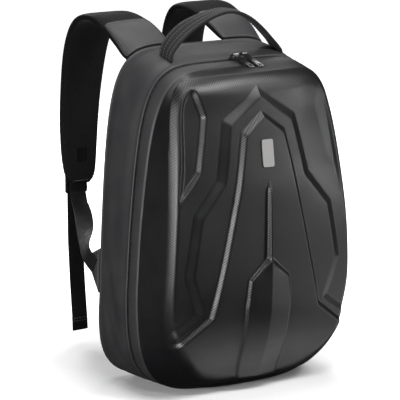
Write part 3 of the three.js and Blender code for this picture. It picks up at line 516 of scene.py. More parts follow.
def add_node(tree, kind, inputs=None, **settings):
    made = tree.nodes.new(kind)
    for name, value in settings.items():
        setattr(made, name, value)
    set_inputs(made, inputs or {})
    return made


def arithmetic(tree, operation, first, second):
    """A Math node; each side is a socket or a number."""
    made = add_node(tree, "ShaderNodeMath", operation=operation)
    for index, value in enumerate((first, second)):
        if isinstance(value, (int, float)):
            made.inputs[index].default_value = value
        else:
            tree.links.new(value, made.inputs[index])
    return made.outputs[0]


def texture(tree, kind, inputs, output="Fac"):
    """A texture in the part's own frame; its scale is in features per metre."""
    place = add_node(tree, "ShaderNodeTexCoord")
    made = add_node(tree, kind, inputs)
    tree.links.new(place.outputs["Object"], made.inputs["Vector"])
    return made.outputs[output]


def noise(tree, scale, detail=2.0):
    return texture(tree, "ShaderNodeTexNoise", {"Scale": scale, "Detail": detail})


def wave_along(tree, direction, pitch, phase=0.0):
    """Sine wave over the surface's own lengths, direction 0 along and 1 across; pitch is in millimetres."""
    place = add_node(tree, "ShaderNodeTexCoord")
    parts = add_node(tree, "ShaderNodeSeparateXYZ")
    tree.links.new(place.outputs["UV"], parts.inputs["Vector"])
    turns = arithmetic(tree, "MULTIPLY", parts.outputs[direction], 2 * math.pi / (pitch * MM))
    return arithmetic(tree, "SINE", arithmetic(tree, "ADD", turns, phase), 0.0)


def crossed_waves(tree, along, across):
    return arithmetic(tree, "MULTIPLY", wave_along(tree, 0, along), wave_along(tree, 1, across))


def vary(tree, socket, fac, low, high, spread=TEXTURE_SPREAD):
    """The socket runs from low to high while fac runs over the spread."""
    limits = {"From Min": spread[0], "From Max": spread[1], "To Min": low, "To Max": high}
    made = add_node(tree, "ShaderNodeMapRange", limits)
    tree.links.new(fac, made.inputs["Value"])
    tree.links.new(made.outputs["Result"], socket)


def vary_colour(tree, shader, fac, dark, light):
    """The base colour runs from dark to light with fac."""
    blend = add_node(tree, "ShaderNodeValToRGB")
    for index, colour in enumerate((dark, light)):
        blend.color_ramp.elements[index].position = TEXTURE_SPREAD[index]
        blend.color_ramp.elements[index].color = (*colour, 1)
    tree.links.new(fac, blend.inputs["Fac"])
    tree.links.new(blend.outputs["Color"], shader.inputs["Base Color"])


def emboss(tree, shader, layers):
    """Chained bump; each layer is a height socket, its strength and its depth in millimetres."""
    last = None
    for height, strength, depth in layers:
        bump = add_node(tree, "ShaderNodeBump", {"Strength": strength, "Distance": depth * MM})
        tree.links.new(height, bump.inputs["Height"])
        if last is not None:
            tree.links.new(last, bump.inputs["Normal"])
        last = bump.outputs["Normal"]
    tree.links.new(last, shader.inputs["Normal"])


def set_gloss(shader, gloss, sheen):
    set_inputs(shader, {"Specular IOR Level": gloss, "Sheen Weight": sheen})


def shell_material():
    """Dark moulded skin with a fine embossed check."""
    material, tree, shader = material_base("shell_skin", (0.0045, 0.0046, 0.0052), 0.38)
    check = crossed_waves(tree, 3.4, 3.4)
    vary_colour(tree, shader, noise(tree, 9), (0.0035, 0.0036, 0.0042), (0.0055, 0.0056, 0.0063))
    vary(tree, shader.inputs["Roughness"], noise(tree, 35, 4), 0.36, 0.42)
    gloss = arithmetic(tree, "ADD", arithmetic(tree, "MULTIPLY", check, 0.4), 0.5)
    vary(tree, shader.inputs["Specular IOR Level"], gloss, 0.25, 0.75)
    emboss(tree, shader, [(noise(tree, 1500), 0.1, 0.1), (check, 0.25, 0.15)])
    return material


def smooth_material():
    """Matte coated fabric with a fine grain."""
    material, tree, shader = material_base("smooth_coating", (0.02, 0.02, 0.0215), 0.55)
    grain = texture(tree, "ShaderNodeTexVoronoi", {"Scale": 900.0}, "Distance")
    vary_colour(tree, shader, noise(tree, 14, 3), (0.017, 0.017, 0.0185), (0.024, 0.024, 0.0255))
    vary(tree, shader.inputs["Roughness"], noise(tree, 28, 3), 0.5, 0.6)
    emboss(tree, shader, [(noise(tree, 60, 3), 0.12, 0.6), (grain, 0.16, 0.16)])
    return material


def mesh_material(name, dark, light):
    """Spacer mesh with rows of small holes, painted darker inside the holes as painted shade."""
    material, tree, shader = material_base(name, light, 0.8)
    holes = crossed_waves(tree, 4.4, 3.4)
    # Painted shade: the colour runs from dark in the pressed-in holes to light on the threads between them.
    spread = arithmetic(tree, "ADD", arithmetic(tree, "MULTIPLY", holes, 0.5), 0.5)
    vary_colour(tree, shader, spread, dark, light)
    emboss(tree, shader, [(holes, 0.6, 0.7), (noise(tree, 2500), 0.2, 0.1)])
    set_gloss(shader, 0.12, 0.05)
    return material


def strap_material(name, dark, light, gloss):
    """Dark plain weave."""
    material, tree, shader = material_base(name, dark, 0.65)
    weave = crossed_waves(tree, 1.3, 1.3)
    vary_colour(tree, shader, noise(tree, 25, 3), dark, light)
    emboss(tree, shader, [(noise(tree, 120, 3), 0.2, 0.4), (weave, 0.35, 0.18)])
    set_gloss(shader, gloss, 0.01)
    return material


def webbing_material():
    """Woven tape: fine ribs across and a coarser weave along."""
    material, tree, shader = material_base("woven_tape", (0.0055, 0.0055, 0.006), 0.62)
    weave = crossed_waves(tree, 1.7, 2.3)
    ribs = wave_along(tree, 0, 0.85, 0.6)
    vary_colour(tree, shader, noise(tree, 60, 3), (0.004, 0.004, 0.0045), (0.007, 0.007, 0.0078))
    emboss(tree, shader, [(ribs, 0.2, 0.12), (weave, 0.4, 0.25)])
    set_gloss(shader, 0.15, 0.02)
    return material


def plastic_material():
    """Glossy black moulding with faint handling marks."""
    material, tree, shader = material_base("black_plastic", (0.006, 0.006, 0.0065), 0.28)
    vary(tree, shader.inputs["Roughness"], noise(tree, 240, 4), 0.22, 0.36)
    emboss(tree, shader, [(noise(tree, 700, 2), 0.08, 0.08)])
    return material


def metal_material():
    """Dark plated metal, lightly brushed."""
    material, tree, shader = material_base("dark_metal", (0.17, 0.168, 0.165), 0.28, 1.0)
    vary_colour(tree, shader, noise(tree, 80, 2), (0.15, 0.148, 0.145), (0.19, 0.188, 0.185))
    vary(tree, shader.inputs["Roughness"], noise(tree, 60, 2), 0.25, 0.31)
    emboss(tree, shader, [(noise(tree, 1800, 2), 0.02, 0.004)])
    return material


def badge_material():
    """Brushed bright metal of the plain plate."""
    material, tree, shader = material_base("satin_metal", (0.3, 0.295, 0.29), 0.35, 1.0)
    lines = texture(tree, "ShaderNodeTexWave", {"Scale": 1500.0, "Distortion": 1.0, "Detail": 1.0})
    vary(tree, shader.inputs["Roughness"], noise(tree, 200, 2), 0.34, 0.42)
    emboss(tree, shader, [(lines, 0.04, 0.005)])
    return material


def thread_material():
    """Grey sewing thread."""
    material, tree, shader = material_base("grey_thread", (0.13, 0.13, 0.135), 0.6)
    vary_colour(tree, shader, noise(tree, 900, 2), (0.1, 0.1, 0.105), (0.17, 0.17, 0.175))
    emboss(tree, shader, [(noise(tree, 3000, 2), 0.3, 0.1)])
    return material


def tape_material():
    """Dark zip tape."""
    material, tree, shader = material_base("zip_tape", (0.012, 0.012, 0.013), 0.7)
    vary_colour(tree, shader, noise(tree, 700, 2), (0.009, 0.009, 0.01), (0.016, 0.016, 0.017))
    emboss(tree, shader, [(noise(tree, 1800, 2), 0.4, 0.15)])
    return material


SHELL = shell_material()
SMOOTH = smooth_material()
MESH = mesh_material("spacer_mesh", (0.002, 0.002, 0.0023), (0.008, 0.008, 0.0085))
# The back panel's mesh is the spacer mesh painted lighter: painted light on the back, so that its pads
# show.
PAINTED_LIGHT_MESH = mesh_material("back_mesh_painted_light", (0.02, 0.02, 0.022), (0.1, 0.1, 0.105))
STRAP = strap_material("strap_cloth", (0.0025, 0.0025, 0.003), (0.0045, 0.0045, 0.005), 0.1)
HANDLE = strap_material("handle_cloth", (0.009, 0.009, 0.0098), (0.013, 0.013, 0.014), 0.25)
WEBBING = webbing_material()
PLASTIC = plastic_material()
METAL = metal_material()
BADGE = badge_material()
THREAD = thread_material()
TAPE = tape_material()


# Body outline
def outline_power(outline, across, up):
    """Roundness of an outline towards one direction from its waist."""
    top = np.where(np.asarray(across) < 0, outline["left_power"], outline["right_power"])
    return np.where(np.asarray(up) > 0, top, outline["base_power"])


def outline_radius(outline, angle):
    return rounded_radius(angle, outline_power(outline, np.cos(angle), np.sin(angle)))


def lean(up):
    """How far the sides lean in at a share of the rise, without a kink at the waist."""
    turning = (up + WAIST_SOFT) ** 2 / (4 * WAIST_SOFT)
    return np.where(np.abs(up) < WAIST_SOFT, turning, np.maximum(0, up))


def outline_spot(outline, across, up):
    """Place in the X-Z plane from shares of the half width and of the rise."""
    x = outline["half"] * across * (1 - outline["taper"] * lean(up))
    above = outline["top"] - outline["waist"]
    below = outline["waist"] - outline["base"]
    return x, outline["waist"] + up * np.where(up > 0, above, below)


def outline_point(outline, angle):
    radius = outline_radius(outline, angle)
    return outline_spot(outline, radius * np.cos(angle), radius * np.sin(angle))


def depth_share(y):
    """Share of the way from the body's edge to its back."""
    return (y - EDGE_Y) / (BACK_Y - EDGE_Y)


def body_point(y, angle):
    front = outline_point(EDGE_OUTLINE, angle)
    back = outline_point(BACK_OUTLINE, angle)
    return mix(front[0], back[0], depth_share(y)), mix(front[1], back[1], depth_share(y))


def outward(line, angle):
    """Outward direction in the X-Z plane of a closed line, which is a function from angles to places."""
    before, after = line(angle - ANGLE_STEP), line(angle + ANGLE_STEP)
    along_x, along_z = after[0] - before[0], after[1] - before[1]
    length = np.hypot(along_x, along_z)
    return along_z / length, -along_x / length


def inset_point(y, angle, inset):
    """Outline at depth y moved inwards, and flat where it stands on the floor."""
    x, z = body_point(y, angle)
    out_x, out_z = outward(lambda turned: body_point(y, turned), angle)
    height = np.maximum(np.maximum(0, inset), z - out_z * inset)
    return np.stack([x - out_x * inset, y + np.zeros_like(x), height], axis=-1)


def outline_top(outline, x):
    """Height of an outline's top at sideways places x."""
    power = outline_power(outline, x, 1)
    up = np.ones_like(np.asarray(x, float))
    for _ in range(TOP_ROUNDS):
        across = np.minimum(1, np.abs(x) / (outline["half"] * (1 - outline["taper"] * up)))
        up = (1 - across ** power) ** (1 / power)
    return outline["waist"] + up * (outline["top"] - outline["waist"])


# Front shell
def line_distance(line, x, z):
    """Distance inside a plate's line in the plane of the face, below 0 outside it."""
    half = np.abs(x)
    nearest = np.full(np.shape(x), np.inf)
    for (upper_z, upper_half), (lower_z, lower_half) in zip(line, line[1:]):
        run_x, run_z = lower_half - upper_half, lower_z - upper_z
        share = ((half - upper_half) * run_x + (z - upper_z) * run_z) / (run_x ** 2 + run_z ** 2)
        share = np.clip(share, 0, 1)
        away = np.hypot(half - upper_half - share * run_x, z - upper_z - share * run_z)
        nearest = np.minimum(nearest, away)
    return np.where(line_half(line, z) > half, nearest, -nearest)


def shell_relief(x, z):
    """Height of the raised plates and of the rib's ridge."""
    relief = np.zeros_like(x)
    for line, bevel, height, pressed in PLATES:
        distance = line_distance(line, x, z)
        share = ramp(distance, *bevel)
        if pressed:
            soft = ramp(distance, *RIGHT_CHEEK["bevel"])
            share = np.where(x > 0, 1 - RIGHT_CHEEK["share"] * (1 - soft), share)
        share = mix(share, soft_step(share), 0.3)
        relief += height * (share - 1 if pressed else share)
    rib_half = line_half(RIB_LINE, z)
    inside = np.clip((rib_half - np.abs(x)) / np.maximum(rib_half, 0.01), 0, 1)
    return relief + RIB_RIDGE * inside * np.clip(rib_half / RIB_RIDGE, 0, 1)


def face_depth(x, z):
    """Depth of the shell's face without its plates."""
    rows = smooth_rows(SHELL_PROFILE, PROFILE_STATIONS)[::-1]
    middle, side = (np.interp(z, rows[:, 0], rows[:, column]) for column in (1, 2))
    rise = ramp(z, CREST_OUTLINE["waist"], CREST_OUTLINE["top"])
    half = CREST_OUTLINE["half"] * (1 - CREST_OUTLINE["taper"] * rise)
    return mix(middle, side, (x / half) ** 2)


def rounded_crest(angle, wall, slope, inwards, face):
    """Depth that follows the wall, turns over the crest on an elliptic arc and runs into the face."""
    up, down = np.maximum(0, np.sin(angle)), np.maximum(0, -np.sin(angle))
    across = CREST_ROUND["side"] + (CREST_ROUND["top"] - CREST_ROUND["side"]) * up ** 3
    across += (CREST_ROUND["base"] - CREST_ROUND["side"]) * down ** 1.5
    deep = CREST_ROUND["deep"]
    leaving = (face - deep * (1 - CREST_ROUND["wall_deep"])) / slope
    middle = leaving + across * CREST_ROUND["wall_across"]
    share = np.clip((middle - inwards) / across, 0, 1)
    arc_depth = face - deep * (1 - np.sqrt(1 - share ** 2))
    return np.where(inwards < leaving, wall, arc_depth)


def shell_points(u, v, thinner):
    """Skin from the edge up a wall to the crest and over the face; thinner moves it inwards."""
    out = np.maximum(np.abs(u), np.abs(v))
    angle = np.arctan2(v, u)
    crest_x, crest_z = outline_point(CREST_OUTLINE, angle)
    edge_x, edge_z = outline_point(EDGE_OUTLINE, angle)
    radius = outline_radius(CREST_OUTLINE, angle) * np.minimum(1, out / CREST_SHARE)
    face_x, face_z = outline_spot(CREST_OUTLINE, radius * np.cos(angle), radius * np.sin(angle))
    wall = face_depth(crest_x, crest_z) * (1 - out) / (1 - CREST_SHARE)
    out_x, out_z = outward(lambda turned: outline_point(CREST_OUTLINE, turned), angle)
    wall_width = np.maximum(LEAST_WALL_WIDTH, (edge_x - crest_x) * out_x + (edge_z - crest_z) * out_z)
    within = (crest_x - face_x) * out_x + (crest_z - face_z) * out_z
    inwards = wall_width * np.minimum(1, (1 - out) / (1 - CREST_SHARE)) + within
    plates = shell_relief(face_x, face_z) * soft_step(ramp(inwards, *PLATE_START))
    face = face_depth(face_x, face_z) + plates
    depth = rounded_crest(angle, wall, face_depth(crest_x, crest_z) / wall_width, inwards, face)
    edge_share = ramp(out, CREST_SHARE, 1)
    x, z = mix(face_x, edge_x, edge_share), mix(face_z, edge_z, edge_share)
    waist = EDGE_OUTLINE["waist"]
    points = np.stack([
        x * (1 - thinner / EDGE_OUTLINE["half"]),
        EDGE_Y - SEAM_GAP - depth * (1 - thinner / SHELL_DEEP),
        np.maximum(thinner, waist + (z - waist) * (1 - thinner / (EDGE_OUTLINE["top"] - waist))),
    ], axis=-1)
    down_wall = np.maximum(0, face_depth(crest_x, crest_z) - wall)
    weave = np.stack([face_x + np.cos(angle) * down_wall, face_z + np.sin(angle) * down_wall], axis=-1)
    return points, weave


def border_places(count):
    """Index of each place round the border of a square grid of count cells, once round."""
    steps = np.arange(count)
    first, last = np.zeros(count, int), np.full(count, count)
    rows = np.concatenate([first, steps, last, count - steps])
    columns = np.concatenate([steps, last, count - steps, first])
    return rows * (count + 1) + columns


def build_shell():
    u, v = square_places(rim_places(SHELL_CELLS + 1, SHELL_RIM))
    step = SHELL_INSIDE_STEP
    outside, outside_weave = shell_points(u, v, 0)
    inside, inside_weave = shell_points(u[::step, ::step], v[::step, ::step], SHELL_WALL)
    size, inner_size = SHELL_CELLS + 1, SHELL_CELLS // step + 1
    outer_rim = border_places(SHELL_CELLS)
    inner_rim = border_places(SHELL_CELLS // step) + size * size
    faces = grid_faces(size, size).tolist() + grid_faces(inner_size, inner_size, size * size).tolist()
    for part in range(len(inner_rim)):
        outer = [outer_rim[(part * step + place) % len(outer_rim)] for place in range(step + 1)]
        faces.append([*outer, inner_rim[(part + 1) % len(inner_rim)], inner_rim[part]])
    points = np.concatenate([outside.reshape(-1, 3), inside.reshape(-1, 3)])
    uvs = np.concatenate([outside_weave.reshape(-1, 2), inside_weave.reshape(-1, 2)])
    loops = np.concatenate([np.asarray(face) for face in faces])
    dress(make_object("shell_skin", points, faces, uvs[loops], [SHELL]), "shell", "front_shell")


# Band, zip and side wall
RING_ANGLES = np.arange(RING_STEPS) / RING_STEPS * 2 * math.pi


def ring_sections(profile):
    """Sections round the body; a profile is a list of depth and inset, numbers or one for each angle."""
    level = np.zeros(RING_STEPS)
    return np.stack([inset_point(level + y, RING_ANGLES, level + inset) for y, inset in profile], axis=1)


def arc(middle_y, middle_inset, radius, start, end, steps):
    """Rounded corner of a profile, from one angle to another in degrees."""
    angles = np.radians(np.linspace(start, end, steps))
    return list(zip(middle_y + radius * np.cos(angles), middle_inset - radius * np.sin(angles)))


def build_band():
    """The front band: a soft round edge towards the shell and a fold along the zip."""
    front = EDGE_Y + BAND["groove"]
    back = ZIP_Y - ZIP_WIDTH / 2 - SEAM_GAP
    zip_radius, shell_radius = BAND["zip_radius"], BAND["shell_radius"]
    profile = [(EDGE_Y, WALL), (back, WALL)]
    profile += arc(back - zip_radius, zip_radius, zip_radius, 0, 90, 6)
    for share in (0.25, 0.5, 0.75):
        y = mix(back - zip_radius, front + BAND["crown_end"], share)
        profile.append((y, -BAND["crown"] * math.sin(share * math.pi)))
    profile += arc(front + shell_radius, shell_radius, shell_radius, 90, 165, 7)
    profile.append((EDGE_Y, WALL - BAND["lip"]))
    dress(loft("front_band", ring_sections(profile), [SMOOTH], ring=True), "smooth", "lid_band")


def crease_depth(points):
    """How far the soft creases dent each point of the side wall."""
    dent = np.zeros(points.shape[:-1])
    for side, start, end, width, depth in CREASES:
        run = np.subtract(end, start)
        spot = points[..., 1:] - start
        share = np.clip(spot @ run / (run @ run), 0, 1)
        away = np.linalg.norm(spot - share[..., None] * run, axis=-1)
        ends = np.sin(np.clip(share, 0.02, 0.98) * math.pi) ** 0.6
        on_side = ramp(points[..., 0] * side, *CREASE_START)
        dent += depth * np.exp(-(away / width) ** 2) * ends * on_side
    return dent


def gusset_profile():
    """Depths of the side wall's outer face and its swell there, from the back to the front."""
    share = np.linspace(*GUSSET_SPAN, GUSSET_ROWS)
    rise = soft_step(np.minimum(1, share / BULGE["from"]))
    fall = soft_step(np.minimum(1, (1 - share) / (1 - BULGE["to"])))
    return mix(GUSSET_FRONT, GUSSET_BACK, share), np.minimum(rise, fall)


def build_gusset():
    """The side wall: piped back seam, soft swell with creases and a raised fold along the zip."""
    depths, swell = gusset_profile()
    most = mix(BULGE["side"], BULGE["top"], np.maximum(0, np.sin(RING_ANGLES)) ** 4)
    dents = crease_depth(ring_sections([(y, 0) for y in depths]))
    profile = [(GUSSET_FRONT, WALL), (GUSSET_BACK, WALL)]
    profile += arc(GUSSET_BACK - PIPING["radius"], PIPING["inset"], PIPING["radius"], -30, 130, 8)
    profile += [(y, -most * swell[row] + dents[:, row]) for row, y in enumerate(depths)]
    profile += arc(GUSSET_FRONT + ZIP_FOLD["radius"], ZIP_FOLD["inset"], ZIP_FOLD["radius"], 60, 200, 8)
    dress(loft("side_wall", ring_sections(profile), [SMOOTH], ring=True), "smooth", "gusset")


def build_zip():
    """Recessed tape with two rows of coil teeth."""
    front, back = ZIP_Y - ZIP_WIDTH / 2, ZIP_Y + ZIP_WIDTH / 2
    deep = ZIP_RECESS + ZIP_THICK
    floor = ZIP_RECESS + TOOTH["high"]
    profile = [(front, deep), (back, deep), (back, floor), (ZIP_Y, floor - ZIP_CROWN), (front, floor)]
    dress(loft("zip_tape", ring_sections(profile), [TAPE], ring=True), "zip", "zip_track")
    angle = np.linspace(0, 2 * math.pi, RING_STEPS * 4)
    line = inset_point(np.full_like(angle, ZIP_Y), angle, np.full_like(angle, floor - TOOTH["high"] / 2))
    spots, along, _ = along_line(line, TOOTH["pitch"])
    depthwards = np.tile([0.0, 1.0, 0.0], (len(spots), 1))
    outwards = np.cross(along, depthwards)
    sides = np.where(np.arange(len(spots)) % 2 == 0, 1, -1)[:, None]
    template = np.array([
        (x * TOOTH["along"] / 2 * taper, y * TOOTH["across"] / 2, z * TOOTH["high"] / 2)
        for z, taper in ((-1, 1), (1, 0.6)) for x, y in ((-1, -1), (1, -1), (1, 1), (-1, 1))
    ])
    faces = tube_faces(len(template))
    axes = np.stack([along, depthwards, outwards], axis=1)
    origins = spots + depthwards * sides * TOOTH["offset"]
    made = scatter("zip_teeth", template, faces, origins, axes, [PLASTIC])
    dress(made, "zip")


# Back panel
def pad_height(x, z):
    """Height of the back pads over their base, on both sides alike."""
    height = np.zeros_like(x)
    for (middle_x, half_x), (middle_z, half_z), high in BACK_PADS:
        across = (np.abs(x) - middle_x) / half_x
        up = (z - middle_z) / half_z
        away = (np.abs(across) ** 4 + np.abs(up) ** 4) ** 0.25
        height = np.maximum(height, high * np.sqrt(np.maximum(0, 1 - away ** 3)))
    return height


def build_back_panel():
    u, v = square_places(edge_places(PANEL_CELLS + 1))
    out = np.maximum(np.abs(u), np.abs(v))
    angle = np.arctan2(v, u)
    reach = outline_radius(BACK_OUTLINE, angle) * square_reach(angle)
    x, z = outline_spot(BACK_OUTLINE, u * reach, v * reach)
    middle = BACK_OUTLINE["top"] / 2
    x = x * (1 - PANEL_INSET / BACK_OUTLINE["half"])
    z = np.maximum(PANEL_INSET, middle + (z - middle) * (1 - PANEL_INSET / middle))
    rim = (1 - out ** 16) ** (1 / 3)
    faces = [rim * (PANEL_BASE + pad_height(x, z)) + SEAM_GAP, np.full_like(x, SEAM_GAP)]
    grids = [np.stack([x, BACK_Y + height, z], axis=-1) for height in faces]
    # The pads take the lighter mesh: painted light on the back.
    made = dress(two_faced("back_pads", grids, [PAINTED_LIGHT_MESH]), "padding", "back_panel")


# Shoulder straps
def strap_path(side):
    """Smooth run of one strap's rows, with its direction in the Y-Z plane."""
    rows = []
    for y, z, x, width, thick, drape in STRAP_ROWS:
        raised = 0
        if side > 0:
            x += RIGHT_STRAP["shift"] * ramp(y, RIGHT_STRAP["fade_end"], RIGHT_STRAP["fade_start"])
            away = (y - RIGHT_STRAP["lift_middle"]) / RIGHT_STRAP["lift_reach"]
            raised = RIGHT_STRAP["lift"] * max(0, 1 - away ** 2)
        seat = float(outline_top(BACK_OUTLINE, side * x)) - PANEL_INSET + STRAP_SEAT_GAP + thick / 2
        rows.append((y, z + raised if z else seat, x, width, thick, drape))
    path = smooth_rows(rows, STRAP_STATIONS)
    return path, unit(np.gradient(path[:, :2], axis=0))


STRAP_PATHS = {side: strap_path(side) for side in SIDES.values()}
STRAP_PATH = STRAP_PATHS[SIDES["left"]][0]
PATCH_STATION = int(np.argmax(STRAP_PATH[:, 0] >= PATCH["last_y"]))


def strap_point(side, station, column, height):
    """Points of the strap: station along, column across from -1 to 1, height over the padding's middle."""
    rows = np.arange(STRAP_STATIONS)
    path, along = STRAP_PATHS[side]
    y, z, x, width, _, drape = (np.interp(station, rows, path[:, index]) for index in range(6))
    along_y, along_z = (np.interp(station, rows, along[:, index]) for index in range(2))
    place = x + column * width / 2
    curve = (outline_top(BACK_OUTLINE, side * place) - outline_top(BACK_OUTLINE, side * x)) * drape
    point = (side * place, y - along_z * height, z + along_y * height + curve)
    return np.stack(np.broadcast_arrays(*point), axis=-1)


def strap_half(station, column):
    """Half thickness of the padding, less towards its edges."""
    thick = np.interp(station, np.arange(STRAP_STATIONS), STRAP_PATH[:, 4])
    return thick / 2 * mix(STRAP_EDGE, 1, np.sqrt(1 - np.abs(column) ** 5))


def build_strap(label, side):
    stations = np.arange(STRAP_STATIONS)[:, None]
    columns = edge_places(STRAP_COLUMNS)[None, :]
    outer = strap_point(side, stations, columns, strap_half(stations, columns))
    tucked = STRAP_TUCK * ramp(stations, TUCK_STATIONS, 0)
    inner = strap_point(side, stations, columns, -strap_half(stations, columns) - tucked)
    sections = np.concatenate([outer, inner[:, ::-1]], axis=1)
    facing = np.repeat([0, 1], STRAP_COLUMNS)
    pad = loft(f"strap_pad_{label}", sections, [STRAP, MESH], face_materials=facing)
    made = dress(pad, "padding", f"strap_{label}")
    build_binding(label, side)
    build_patch(label, side)


def build_binding(label, side):
    """Folded edge tape from the root patch down one edge of the strap, round its end and up the other."""
    down = np.arange(PATCH_STATION - 1, STRAP_STATIONS, dtype=float)
    across = np.linspace(-1, 1, BINDING["end_points"])[1:-1]
    station = np.concatenate([down, np.full(len(across), STRAP_STATIONS - 1.0), down[::-1]])
    column = np.concatenate([np.full(len(down), -1.0), across, np.full(len(down), 1.0)])
    path = strap_point(side, station, column, 0 * station)
    facing = unit(strap_point(side, station, column, 0 * station + 1) - path)
    along = unit(np.gradient(path, axis=0))
    outwards = unit(np.cross(along, facing))
    middle = strap_point(side, station, column * 0.5, 0 * station)
    outwards *= np.sign(np.sum(outwards * (path - middle), axis=1, keepdims=True) + 1e-9)
    half_wide = outwards * BINDING["half_width"]
    half_high = facing * (strap_half(station, column) + BINDING["over"])[:, None]
    sections = []
    for angle in np.linspace(0, 2 * math.pi, BINDING["corners"], endpoint=False):
        turn = np.array([math.cos(angle), math.sin(angle)])
        wide, high = np.sign(turn) * np.abs(turn) ** BINDING["power"]
        sections.append(path + half_wide * (wide - BINDING["sunk"]) + half_high * high)
    dress(loft(f"strap_binding_{label}", np.stack(sections, axis=1), [STRAP]), "padding")
    seam = path - half_wide * BINDING["seam"]
    lines = [(seam + half_high * face * THREAD_OUT, facing * face) for face in (1, -1)]
    stitches(f"strap_stitches_{label}", lines)


def build_patch(label, side):
    """Smooth patch sewn over the strap's root, and its border stitches."""
    def place(u, v, height):
        station = (u + 1) / 2 * PATCH_STATION
        column = v * PATCH["half"]
        lift = strap_half(station, column) + SEAM_GAP + height * PATCH["thick"]
        return strap_point(side, station, column, lift)

    made = pillow(f"root_patch_{label}", place, PATCH["cells"], [SMOOTH], power=16)
    dress(made, "smooth", f"strap_patch_{label}")
    lines = []
    share = np.linspace(-PATCH["seam"], PATCH["seam"], PATCH["seam_points"])
    for edge in (-PATCH["seam"], PATCH["seam"]):
        level = np.full_like(share, edge)
        for u, v in ((share, level), (level, share)):
            points = place(u, v, 1.05)
            lines.append((points, unit(place(u, v, 2.0) - points)))
    stitches(f"patch_stitches_{label}", lines)


def build_label():
    """Plain raised square on the inner face of the strap at the viewer's left."""
    falling = STRAP_STATIONS // 2
    middle = falling + int(np.argmin(np.abs(STRAP_PATH[falling:, 1] - LABEL["z"])))
    per_station = abs(STRAP_PATH[middle + 1, 1] - STRAP_PATH[middle, 1])

    def place(u, v, height):
        station = middle + u * LABEL["half_long"] / per_station
        column = v * LABEL["half"]
        border = LABEL["border"] * ramp(np.maximum(np.abs(u), np.abs(v)), 0.7, 0.78)
        lift = strap_half(station, column) + LABEL["gap"] + height * (LABEL["thick"] + border)
        return strap_point(SIDES["left"], station, column, -lift)

    dress(pillow("strap_label_plain", place, LABEL["cells"], [STRAP], power=10), "padding")


# Carry handle
def gusset_top(x, y):
    """Height of the side wall's top, with its swell."""
    share = ramp(y, GUSSET_FRONT, GUSSET_BACK)
    swell = np.minimum(1, np.minimum(share / BULGE["from"], (1 - share) / (1 - BULGE["to"])))
    height = mix(outline_top(EDGE_OUTLINE, x), outline_top(BACK_OUTLINE, x), depth_share(y))
    return height + BULGE["top"] * swell


def build_handle():
    """Padded band in an arch, with sewn channels along it."""
    seated = [(x, y, z or float(gusset_top(x, y)), roll) for x, y, z, roll in HANDLE_ROWS]
    rows = smooth_rows(seated, HANDLE_STATIONS)
    path, roll = rows[:, :3], np.radians(rows[:, 3])
    along = np.gradient(path, axis=0)
    widthways = np.stack([np.zeros(len(path)), np.cos(roll), np.sin(roll)], axis=-1)
    out = unit(np.cross(along, widthways))
    columns = edge_places(HANDLE_COLUMNS)
    away = [(columns - seam) * HANDLE_WIDTH / 2 / CHANNEL["half"] for seam in HANDLE_SEAMS]
    crown = HANDLE_THICK / 2 * mix(HANDLE_EDGE, 1, np.sqrt(1 - np.abs(columns) ** 6))
    half = crown - CHANNEL["deep"] * sum(np.exp(-distance ** 2) for distance in away)

    def point(column, height):
        return path + widthways * column * HANDLE_WIDTH / 2 + out * height

    outer = [point(column, height) for column, height in zip(columns, half)]
    inner = [point(column, -height) for column, height in zip(columns, half)]
    sections = np.stack(outer + inner[::-1], axis=1)
    foot = gusset_top(sections[..., 0], sections[..., 1]) + SEAM_GAP
    sections[[0, -1], :, 2] = foot[[0, -1]]
    dress(loft("carry_handle", sections, [HANDLE]), "smooth", "handle")
    lines = []
    for seam in HANDLE_SEAMS:
        for face in (1, -1):
            lines.append((point(seam, face * (HANDLE_THICK / 2 - CHANNEL["thread"])), out * face))
    stitches("handle_stitches", lines, "smooth")


# Bands of webbing
def webbing_band(name, node, middles, across, layers):
    """Flat band with rounded edges along its middles; layers has a value for each of them."""
    along = unit(np.gradient(middles, axis=0))
    across = unit(across - np.sum(across * along, axis=1, keepdims=True) * along)
    half_wide = across * WEBBING_WIDTH / 2
    half_high = np.cross(across, along) * (layers * WEBBING_THICK)[:, None] / 2
    corners = [middles + half_wide * wide + half_high * high for wide, high in WEBBING_SHAPE]
    dress(loft(name, np.stack(corners, axis=1), [WEBBING]), "webbing", node)


def bar_turn(x, bar_z, start, end):
    """Half turn of band middles round a bar of the buckle."""
    angles = np.linspace(start, end, TURN_POINTS)
    return np.stack([
        np.full_like(angles, x),
        BUCKLE_BARS["y"] + BAR_RADIUS * np.cos(angles),
        bar_z + BAR_RADIUS * np.sin(angles),
    ], axis=-1)


def build_loop(label, side):
    """Short loop from the strap's end round the buckle's top bar."""
    x = side * STRAP_END["x"]
    legs = {name: np.array([(x, STRAP_END["y"] + y, BUCKLE_BARS["top"] + rise) for rise, y in rows])
            for name, rows in LOOP_ROWS.items()}
    turn = bar_turn(x, BUCKLE_BARS["top"], math.pi, 2 * math.pi)
    middles = np.concatenate([legs["strap"], turn, legs["back"]])
    layers = np.ones(len(middles))
    webbing_band(f"buckle_loop_tape_{label}", f"buckle_loop_{label}", middles, LEVEL, layers)


